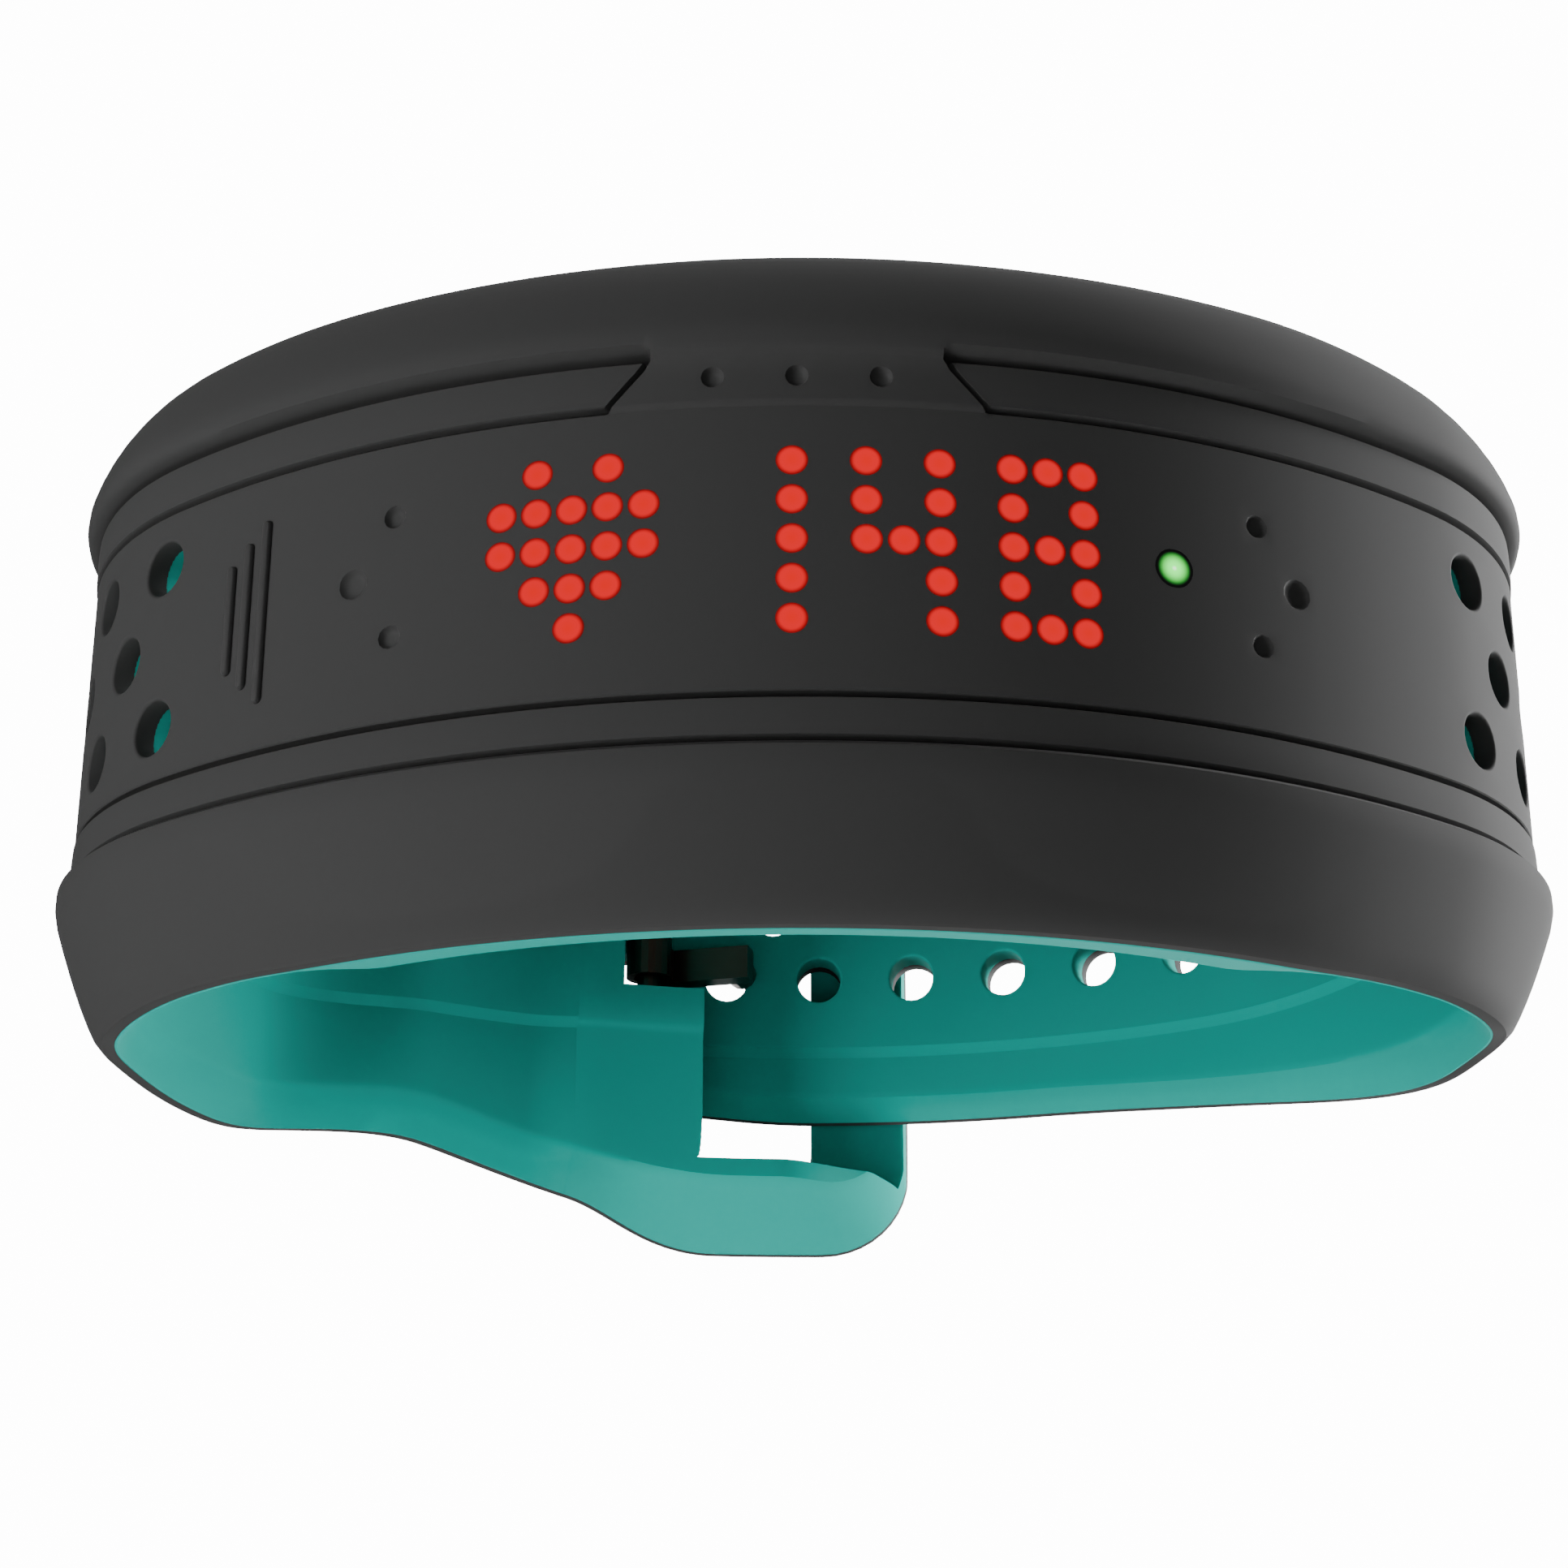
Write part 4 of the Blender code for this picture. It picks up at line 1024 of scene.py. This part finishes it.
def build_core():
    """Teal layer: the body round the pod and the inside of the straps."""
    left = [-s for s in reversed(strap_columns(LOOP_SEAM, LEFT_FIRST_PAIR))]
    front = filled_columns({-SEAM, -POD_HALF_LENGTH, POD_HALF_LENGTH, SEAM})
    columns = [c for c in left if c < -SEAM] + front + tail_columns()
    loops = [core_loop(u) for u in columns]
    total = len(loops[0])
    # the outline starts on the slope, so that no block of cells crosses its ends
    turn = CORE_IN - len(SLOPE_SHARES) - 1
    loops = [loop[-turn:] + loop[:-turn] for loop in loops]

    def row_at(z, face):
        step = round(z / ROW_STEP)
        if face == "out":
            return turn + step
        return turn + total // 2 - step

    skip = set()
    blocks = hole_blocks(columns, row_at)
    for _, _, cols, outer, inner in blocks:
        skip |= cells(cols, outer) | cells(cols, inner)
    pod = (nearest(columns, -POD_HALF_LENGTH), nearest(columns, POD_HALF_LENGTH))
    pod_out = (turn - CORE_OUT, turn + CORE_OUT)
    pod_in = (turn + CORE_IN, turn + total - CORE_IN)
    skip |= cells(pod, pod_out) | cells(pod, pod_in)
    surface, rings = sweep_surface(columns, loops, skip)
    for block in blocks:
        s = block[0]
        open_hole(surface, rings, loops, block, SKIN + LAYER_GAP, thickness(s),
                  (PLAIN_EDGE, tuple(reversed(SOFT_EDGE))))
    for i in range(*pod):
        for outer, inner in ((pod_out[1], pod_in[0]), (pod_out[0], pod_in[1])):
            surface.face((rings[i][outer % total], rings[i + 1][outer % total],
                          rings[i + 1][inner % total], rings[i][inner % total]), "front")
    for i in pod:
        wall = [rings[i][k % total] for k in range(pod_out[0], pod_out[1] + 1)]
        wall += [rings[i][k % total] for k in range(pod_in[0], pod_in[1] + 1)]
        surface.face(wall, "front")
    seams = [nearest(columns, -SEAM), nearest(columns, SEAM)]
    names = {"left": "strap_core_left", "front": "core_front", "right": "strap_core_right"}
    return split_regions(names, surface, rings, seams, teal_silicone(), 22.0)


# ---- the loop that the tail passes through ----


LOOP_SEAM = 75.0
LOOP_COLUMN = 0.35
CORNER_STEPS = 10
BORE_LENGTH = 14.4
NOTCH_DEPTHS = (1.0, 10.0)
SOFTENING = 0.18                # width of the rounding along cut edges


def loop_columns():
    straight = LOOP_END - LOOP_CORNER
    count = math.ceil((straight - LOOP_SEAM) / LOOP_COLUMN)
    marks = [LOOP_SEAM + LOOP_COLUMN * k for k in range(count)]
    for k in range(CORNER_STEPS + 1):
        marks.append(straight + LOOP_CORNER * math.sin(math.pi / 2 * k / CORNER_STEPS))
    return [-round(m, 4) for m in reversed(marks)]


def plain_sweep(name, columns, section, shade):
    surface = Surface()
    rings = [[surface.vert(point(s, d, z)) for s, d, z in section(u)] for u in columns]
    for first, second in zip(rings, rings[1:]):
        surface.strip(first, second, "loop")
    surface.face(list(reversed(rings[0])), "loop")
    surface.face(rings[-1], "loop")
    faces = outward_mesh(surface.verts, surface.faces)
    return object_from(name, surface.verts, faces, shade)


def prism_cutter(name, outline, half, round_places):
    """A tall cutter from (run, depth) corners, with rounded corners where it ends."""
    builder = bmesh.new()
    rings = []
    for z in (-half, half):
        ring = []
        for (run, d), (next_run, next_d) in zip(outline, outline[1:] + outline[:1]):
            count = max(1, round(abs(next_run - run) / 0.7))
            for k in range(count):
                at = k / count
                spot = point(-(run + (next_run - run) * at), d + (next_d - d) * at, z)
                ring.append(builder.verts.new(spot))
        rings.append(ring)
    for k in range(len(rings[0])):
        m = (k + 1) % len(rings[0])
        builder.faces.new((rings[0][k], rings[0][m], rings[1][m], rings[1][k]))
    builder.faces.new(rings[0])
    builder.faces.new(rings[1])
    ends = [point(-run, d, z) for run, d in round_places for z in (-half, half)]
    edges = []
    for edge in builder.edges:
        spots = [v.co for v in edge.verts]
        on_end = all(min((spot - end).length for end in ends) < 1e-6 for spot in spots)
        if on_end and abs(spots[0].z - spots[1].z) < 1e-9:
            edges.append(edge)
    bmesh.ops.bevel(builder, geom=edges, offset=WINDOW_CORNER * MM, segments=8,
                    profile=0.5, affect="EDGES")
    return from_builder(name, builder)


def from_builder(name, builder, shade=None):
    bmesh.ops.recalc_face_normals(builder, faces=builder.faces)
    mesh = bpy.data.meshes.new(name)
    builder.to_mesh(mesh)
    builder.free()
    if shade:
        mesh.materials.append(shade)
    made = bpy.data.objects.new(name, mesh)
    bpy.context.scene.collection.objects.link(made)
    return made


def cylinder(name, centre, axis, radius, length, segments=48):
    builder = bmesh.new()
    bmesh.ops.create_cone(builder, cap_ends=True, segments=segments, radius1=radius * MM,
                          radius2=radius * MM, depth=length * MM)
    turn = Vector(axis).to_track_quat("Z", "Y").to_matrix().to_4x4()
    bmesh.ops.transform(builder, matrix=Matrix.Translation(centre) @ turn,
                        verts=builder.verts)
    return from_builder(name, builder)


def cut(made, cutters):
    """Subtracts the cutters and keeps the result as the object's own mesh."""
    for cutter in cutters:
        step = made.modifiers.new("cut", "BOOLEAN")
        step.object = cutter
    graph = bpy.context.evaluated_depsgraph_get()
    graph.update()
    result = bpy.data.meshes.new_from_object(made.evaluated_get(graph))
    made.modifiers.clear()
    old = made.data
    made.data = result
    bpy.data.meshes.remove(old)
    for cutter in cutters:
        bpy.data.objects.remove(cutter)
    shade_all_smooth(result)
    mark_sharp(result, 32.0)
    soft = made.modifiers.new("edge", "BEVEL")
    soft.width = SOFTENING * MM
    soft.segments = 2
    soft.limit_method = "ANGLE"
    soft.angle_limit = math.radians(45)
    soft.harden_normals = True


def channel_outline():
    floor = STEP_IN + SKIN + 0.12
    over, under = -8.0, 10.0
    begin, end = CHANNEL_START, LOOP_END + 3.0
    outline = [(begin, over), (WINDOW[1], over), (WINDOW[1], -LOOP_GAP), (end, -LOOP_GAP),
               (end, under), (WINDOW[0], under), (WINDOW[0], floor), (begin, floor)]
    ends = [(WINDOW[0], floor), (WINDOW[0], under), (WINDOW[1], over),
            (WINDOW[1], -LOOP_GAP)]
    return outline, ends


def notch_cutter():
    def section(u):
        low, high = -NOTCH_HALF_HEIGHT, NOTCH_HALF_HEIGHT
        near, far = NOTCH_DEPTHS
        return [(u, near, low), (u, near, high), (u, far, high), (u, far, low)]
    columns = [-(WINDOW[0] + 0.4) + 0.5 * k for k in range(10)] + [-NOTCH_START]
    return plain_sweep("notch_cutter", columns, section, teal_silicone())


def build_loop():
    """The end of the left strap: frame, window, outer bar and the clasp's notch."""
    groove = sizes().groove_depth / MM
    columns = loop_columns()
    core = plain_sweep("loop_frame", columns, core_loop, teal_silicone())
    outline, ends = channel_outline()
    bore = cylinder("bore_cutter", point(-PIN_S, PIN_DEPTH, 0.0), (0, 0, 1),
                    0.5 * PIN_BORE, BORE_LENGTH)
    cut(core, [prism_cutter("channel_cutter", outline, WINDOW_HALF_HEIGHT, ends),
               notch_cutter(), bore])
    over, under = -9.0, 9.0
    opening = [(CHANNEL_START, over), (WINDOW[1], over), (WINDOW[1], under),
               (CHANNEL_START, under)]
    skin = plain_sweep("loop_top", columns, lambda u: skin_loop(u, groove, 0.0),
                       black_silicone())
    cut(skin, [prism_cutter("opening_cutter", opening, WINDOW_HALF_HEIGHT,
                            [(WINDOW[1], over), (WINDOW[1], under)])])
    floor = plain_sweep("channel_floor", floor_columns(), floor_section, black_silicone())
    cut(floor, [notch_cutter()])
    return {"core": core, "skin": skin, "floor": floor}


def floor_columns():
    start, end = CHANNEL_START + 0.04, WINDOW[0] - 0.3
    return [-end + (end - start) * k / 14 for k in range(15)]


def floor_section(u):
    high, deep = WINDOW_HALF_HEIGHT - 0.12, STEP_IN + SKIN
    half = [(STEP_IN, 0.0), (STEP_IN, 6.0), (STEP_IN, high - 0.3), (STEP_IN + 0.1, high)]
    half += [(deep, high), (deep, 6.0), (deep, 0.0)]
    upper = [(u, d, z) for d, z in half]
    return upper + [(u, d, -z) for d, z in reversed(half[1:-1])]


# ---- the display ----


LED_PITCH_S = 1.44
LED_PITCH_Z = 1.67
LED_CENTRE_S = -0.6
LED_CENTRE_Z = 0.3
LED_COLUMNS = 17
HEART = (".#.#.", "#####", "#####", ".###.", "..#..")
ONE = ("#", "#", "#", "#", "#")
FOUR = ("#.#", "#.#", "###", "..#", "..#")
EIGHT = ("###", "#.#", "###", "#.#", "###")
SIGNS = ((0, HEART), (8, ONE), (10, FOUR), (14, EIGHT))
STATUS_PLACE = (14.7, 0.25)


def lit_dots():
    for first, sign in SIGNS:
        for row, line in enumerate(sign):
            for column, mark in enumerate(line):
                if mark == "#":
                    s = LED_CENTRE_S + (first + column - 0.5 * (LED_COLUMNS - 1)) * LED_PITCH_S
                    yield s, LED_CENTRE_Z + (2 - row) * LED_PITCH_Z


DOME_RINGS = (0.12, 0.3, 0.5, 0.7, 0.85, 1.0)
DOME_SIDES = 28
DOME_RISE = 0.02
DOME_FALL = 0.028               # so that a dome's rim dips just under the skin


def light_domes(name, places, radius, shade):
    """Very shallow domes on the skin, with a coordinate that runs from 0 to 1 outward."""
    verts, faces, spots = [], [], []
    for s, z in places:
        base = len(verts)
        verts.append(point(s, -DOME_RISE, z))
        spots.append((0.0, 0.0))
        for share in DOME_RINGS:
            depth = DOME_FALL * share ** 4 - DOME_RISE
            for k in range(DOME_SIDES):
                angle = 2 * math.pi * k / DOME_SIDES
                a, b = share * math.cos(angle), share * math.sin(angle)
                verts.append(point(s + radius * a, depth, z + radius * b))
                spots.append((a, b))
        for k in range(DOME_SIDES):
            m = (k + 1) % DOME_SIDES
            faces.append((base, base + 1 + k, base + 1 + m))
            for r in range(len(DOME_RINGS) - 1):
                low = base + 1 + r * DOME_SIDES
                high = low + DOME_SIDES
                faces.append((low + k, high + k, high + m, low + m))
    made = object_from(name, verts, faces, shade)
    layer = made.data.uv_layers.new(name="dot")
    for loop in made.data.loops:
        layer.data[loop.index].uv = spots[loop.vertex_index]
    return made


def build_lights():
    red, green = tuple(colours().dots), tuple(colours().status)
    dot = sizes().dot_size / MM
    dots = light_domes("display_dots", list(lit_dots()), 0.5 * dot,
                       glow_material("dot_glow", red, (1.0, 0.01, 0.01), 1.05, 0.6, 1.0))
    status = light_domes("status_glow", [STATUS_PLACE], 0.9,
                         glow_material("status_glow", green, (0.6, 1.0, 0.55), 2.6, 0.16,
                                       0.82))
    return dots, status


# ---- three raised bars beside the display ----


BARS = ((-24.9, 2.2), (-24.0, 3.0), (-23.1, 3.8))
BAR_WIDTH = 0.42


def build_bars():
    rise = sizes().bar_rise / MM
    builder = bmesh.new()
    for s, half in BARS:
        count = 9
        rings = []
        for share, d in ((1.12, 0.04), (1.0, -0.3 * rise), (0.8, -0.8 * rise), (0.5, -rise)):
            ring = []
            for end in (1, -1):
                for k in range(count + 1):
                    angle = math.pi * k / count
                    a = end * 0.5 * BAR_WIDTH * share * math.cos(angle)
                    b = end * (half + 0.5 * BAR_WIDTH * share * math.sin(angle))
                    ring.append(builder.verts.new(point(s + a, d, b)))
            rings.append(ring)
        for first, second in zip(rings, rings[1:]):
            for k in range(len(first)):
                m = (k + 1) % len(first)
                builder.faces.new((first[k], first[m], second[m], second[k]))
        builder.faces.new(rings[-1])
        builder.faces.new(list(reversed(rings[0])))
    made = from_builder("raised_bars", builder, black_silicone())
    shade_all_smooth(made.data)
    return made


# ---- placing the straps' pieces, and the finish of the frame's own pieces ----


def bend(made):
    """Bakes the piece's placement into its mesh. It does not bend the strap, which leaves the
    front section within a centimetre and then turns as one.
    """
    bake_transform(made)


def finish_nodes():
    """Gives each of the frame's shown nodes its own finish."""
    plastic = moulded("smoked_plastic", (0.012, 0.012, 0.014), 0.4)
    cover = moulded("cover_plastic", (0.022, 0.022, 0.024), 0.5, grain=1800.0)
    rubber = moulded("gasket_rubber", (0.03, 0.03, 0.03), 0.75)
    board = moulded("board_green", (0.004, 0.09, 0.035), 0.45, grain=900.0)
    chip = moulded("chip_black", (0.012, 0.012, 0.012), 0.6, grain=4000.0)
    amber = moulded("flex_amber", (0.45, 0.16, 0.02), 0.4)
    foil = moulded("cell_foil", (0.55, 0.55, 0.57), 0.35, metal=0.85)
    steel = moulded("steel", (0.5, 0.5, 0.51), 0.28, grain=5200.0, metal=1.0, bump=0.08)
    gold = moulded("gold_contact", (0.85, 0.55, 0.18), 0.25, grain=5200.0, metal=1.0,
                   bump=0.05)
    glass = moulded("sensor_glass", (0.01, 0.011, 0.014), 0.08, bump=0.01)
    white = moulded("diffuser_film", (0.6, 0.6, 0.58), 0.5)
    red = moulded("red_led", (0.5, 0.02, 0.02), 0.4)
    green = moulded("green_led", (0.05, 0.4, 0.08), 0.4)
    finishes = (
        (clasp_metal(), ("tang", "tang_pin")),
        (plastic, ("display_shell", "left_touch_pad", "right_touch_pad", "light_barrier")),
        (cover, ("rear_cover",)), (rubber, ("gasket",)), (glass, ("sensor_window",)),
        (board, ("main_board", "sensor_board")), (amber, ("flex_cable", "antenna")),
        (chip, ("processor", "radio_chip", "memory_chip", "charger_chip",
                "accelerometer", "photodiode")),
        (foil, ("battery",)), (white, ("diffuser_film",)), (red, ("led_board",)),
        (green, ("status_led", "sensor_led_left", "sensor_led_right")),
        (steel, ("motor_can", "motor_weight", *(f"cover_screw_{k}" for k in range(1, 5)))),
        (gold, tuple(f"charge_contact_{k}" for k in range(1, 5))),
    )
    for shade, names in finishes:
        for name in names:
            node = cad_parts[name]
            node.data.materials.clear()
            node.data.materials.append(shade)
    for name in ("tang", "tang_pin", "rear_cover"):
        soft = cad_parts[name].modifiers.new("edge", "BEVEL")
        soft.width = 0.14 * MM
        soft.segments = 3
        soft.limit_method = "ANGLE"


# ---- studio ----


CAMERA_PITCH = math.radians(20.7)
CAMERA_ROLL = math.radians(0.1)
CAMERA_DISTANCE = 134.3
CAMERA_AIM = (-0.88, -CENTRE_Y, -1.55)
LENS = 68.6
FLOOR_Z = -180.0
FLOOR_REACH = 0.8               # metres, like the three below it
WALL_CURVE = 0.6
WALL_TOP = 3.0
STAGE_SIDES = 64
CURVE_STEPS = 12
PAPER_GLOW = 14.0


def area_light(name, place, size, power):
    """A soft lamp that points at the middle of the band."""
    lamp = bpy.data.lights.new(name, "AREA")
    lamp.shape = "RECTANGLE"
    lamp.size, lamp.size_y = (side * MM for side in size)
    lamp.energy = power
    made = bpy.data.objects.new(name, lamp)
    spot = Vector(place) * MM
    made.location = spot
    made.rotation_euler = (-spot).to_track_quat("-Z", "Y").to_euler()
    bpy.context.scene.collection.objects.link(made)
    return made


WORLD_LIGHT = 0.17
LAMPS = (                       # name, place, size, power, and whether gloss shows it
    ("right", (330.0, 90.0, 50.0), (110.0, 300.0), 4.5, True),
    ("top", (60.0, 60.0, 320.0), (200.0, 160.0), 0.6, True),
    ("left", (-300.0, -190.0, -60.0), (140.0, 280.0), 2.2, True),
    ("below", (0.0, 20.0, -300.0), (260.0, 160.0), 2.3, True),
    ("front_fill", (-40.0, -280.0, -110.0), (260.0, 200.0), 0.35, False),
    ("back", (60.0, 300.0, 60.0), (260.0, 200.0), 1.6, True),
)


def studio_paper():
    """Pale matt paper, bright as if lit by its own lamps."""
    made = moulded("studio_paper", (0.9, 0.9, 0.9), 0.8, grain=60.0, tint=0.01, bump=0.02)
    shader = made.node_tree.nodes["Principled BSDF"]
    shader.inputs["Emission Color"].default_value = (1.0, 1.0, 1.0, 1.0)
    shader.inputs["Emission Strength"].default_value = PAPER_GLOW
    return made


def build_stage():
    """Lays a wide pale bowl, whose flat middle is the floor, with lamps, sky and camera."""
    builder = bmesh.new()
    depth = FLOOR_Z * MM
    profile = [(FLOOR_REACH, depth)]
    for k in range(1, CURVE_STEPS + 1):
        angle = math.pi / 2 * k / CURVE_STEPS
        profile.append((FLOOR_REACH + WALL_CURVE * math.sin(angle),
                        depth + WALL_CURVE * (1.0 - math.cos(angle))))
    profile.append((FLOOR_REACH + WALL_CURVE, WALL_TOP))
    middle = builder.verts.new((0.0, 0.0, depth))
    before = None
    for reach, z in profile:
        row = [builder.verts.new((reach * math.cos(turn), reach * math.sin(turn), z))
               for turn in (2.0 * math.pi * k / STAGE_SIDES for k in range(STAGE_SIDES))]
        for k in range(STAGE_SIDES):
            follow = (k + 1) % STAGE_SIDES
            if before is None:
                builder.faces.new((middle, row[k], row[follow]))
            else:
                builder.faces.new((before[k], row[k], row[follow], before[follow]))
        before = row
    floor = from_builder("studio_floor", builder, studio_paper())
    shade_all_smooth(floor.data)
    floor.visible_diffuse = False
    floor.visible_glossy = False
    world = bpy.context.scene.world or bpy.data.worlds.new("studio_world")
    bpy.context.scene.world = world
    world.use_nodes = True
    sky = world.node_tree.nodes["Background"]
    sky.inputs["Color"].default_value = (1.0, 1.0, 1.0, 1.0)
    sky.inputs["Strength"].default_value = WORLD_LIGHT
    for name, place, size, power, glossy in LAMPS:
        lamp = area_light(name, place, size, power)
        lamp.visible_glossy = glossy
    camera = bpy.data.cameras.new("camera")
    camera.lens = LENS
    camera.sensor_width = 36.0
    camera.clip_start = 0.001
    made = bpy.data.objects.new("camera", camera)
    ahead = Vector((0.0, math.cos(CAMERA_PITCH), math.sin(CAMERA_PITCH)))
    made.location = (Vector(CAMERA_AIM) - ahead * CAMERA_DISTANCE) * MM
    turn = Matrix.Rotation(math.pi / 2 + CAMERA_PITCH, 4, "X")
    roll = Matrix.Rotation(CAMERA_ROLL, 4, "Z")
    made.rotation_euler = (turn @ roll).to_euler()
    bpy.context.scene.collection.objects.link(made)
    bpy.context.scene.camera = made


# ---- operators ----


class BandPiece(bpy.types.Operator):
    """Base of the operators, which each build one group of pieces"""
    bl_options = {"REGISTER", "UNDO"}


class BAND_OT_skin(BandPiece):
    """Build the black outer layer of the front and both straps"""
    bl_idname = "band.skin"
    bl_label = "Outer Layer"

    def execute(self, context):
        made = build_skin()
        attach(made["front"], "front")
        bend(made["left"])
        bend(made["right"])
        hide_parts("band_front_skin")
        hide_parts("left_strap_skin")
        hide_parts("right_strap_skin")
        return {"FINISHED"}


class BAND_OT_core(BandPiece):
    """Build the teal inner layer of the front and both straps"""
    bl_idname = "band.core"
    bl_label = "Inner Layer"

    def execute(self, context):
        made = build_core()
        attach(made["front"], "front")
        bend(made["left"])
        bend(made["right"])
        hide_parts("band_front_core")
        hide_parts("left_strap_core")
        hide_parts("right_strap_core")
        return {"FINISHED"}


class BAND_OT_loop(BandPiece):
    """Build the loop at the end of the left strap"""
    bl_idname = "band.loop"
    bl_label = "Loop"

    def execute(self, context):
        made = build_loop()
        for piece in made.values():
            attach(piece, "left_strap")
        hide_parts("loop_skin")
        return {"FINISHED"}


class BAND_OT_display(BandPiece):
    """Build the lit dots and the status light"""
    bl_idname = "band.display"
    bl_label = "Display Lights"

    def execute(self, context):
        for made in build_lights():
            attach(made, "front")
        return {"FINISHED"}


class BAND_OT_bars(BandPiece):
    """Build the three raised bars beside the display"""
    bl_idname = "band.bars"
    bl_label = "Raised Bars"

    def execute(self, context):
        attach(build_bars(), "front")
        return {"FINISHED"}


class BAND_OT_fittings(BandPiece):
    """Give the clasp, the pod and the electronics their finishes"""
    bl_idname = "band.fittings"
    bl_label = "Clasp and Pod Finishes"

    def execute(self, context):
        finish_nodes()
        return {"FINISHED"}


class BAND_OT_stage(BandPiece):
    """Build the floor, the lights and the camera"""
    bl_idname = "band.stage"
    bl_label = "Studio"

    def execute(self, context):
        build_stage()
        return {"FINISHED"}


class BAND_PT_panel(bpy.types.Panel):
    """Sizes, colours and buttons of the band"""
    bl_label = "Fitness Band"
    bl_space_type = "VIEW_3D"
    bl_region_type = "UI"
    bl_category = "Band"

    def draw(self, context):
        layout = self.layout
        for group in (context.scene.band_sizes, context.scene.band_colours):
            for name in group.__annotations__:
                layout.prop(group, name)
        for operator in OPERATORS:
            layout.operator(operator.bl_idname)


OPERATORS = (BAND_OT_skin, BAND_OT_core, BAND_OT_loop, BAND_OT_display, BAND_OT_bars,
             BAND_OT_fittings, BAND_OT_stage)
CLASSES = (BandSizes, BandColours, *OPERATORS, BAND_PT_panel)


def register():
    for each in CLASSES:
        bpy.utils.register_class(each)
    bpy.types.Scene.band_sizes = bpy.props.PointerProperty(type=BandSizes)
    bpy.types.Scene.band_colours = bpy.props.PointerProperty(type=BandColours)


def unregister():
    del bpy.types.Scene.band_sizes
    del bpy.types.Scene.band_colours
    for each in reversed(CLASSES):
        bpy.utils.unregister_class(each)


def main():
    register()
    bpy.ops.band.skin()
    bpy.ops.band.core()
    bpy.ops.band.loop()
    bpy.ops.band.display()
    bpy.ops.band.bars()
    bpy.ops.band.fittings()
    bpy.ops.band.stage()


if __name__ == "__main__":
    main()
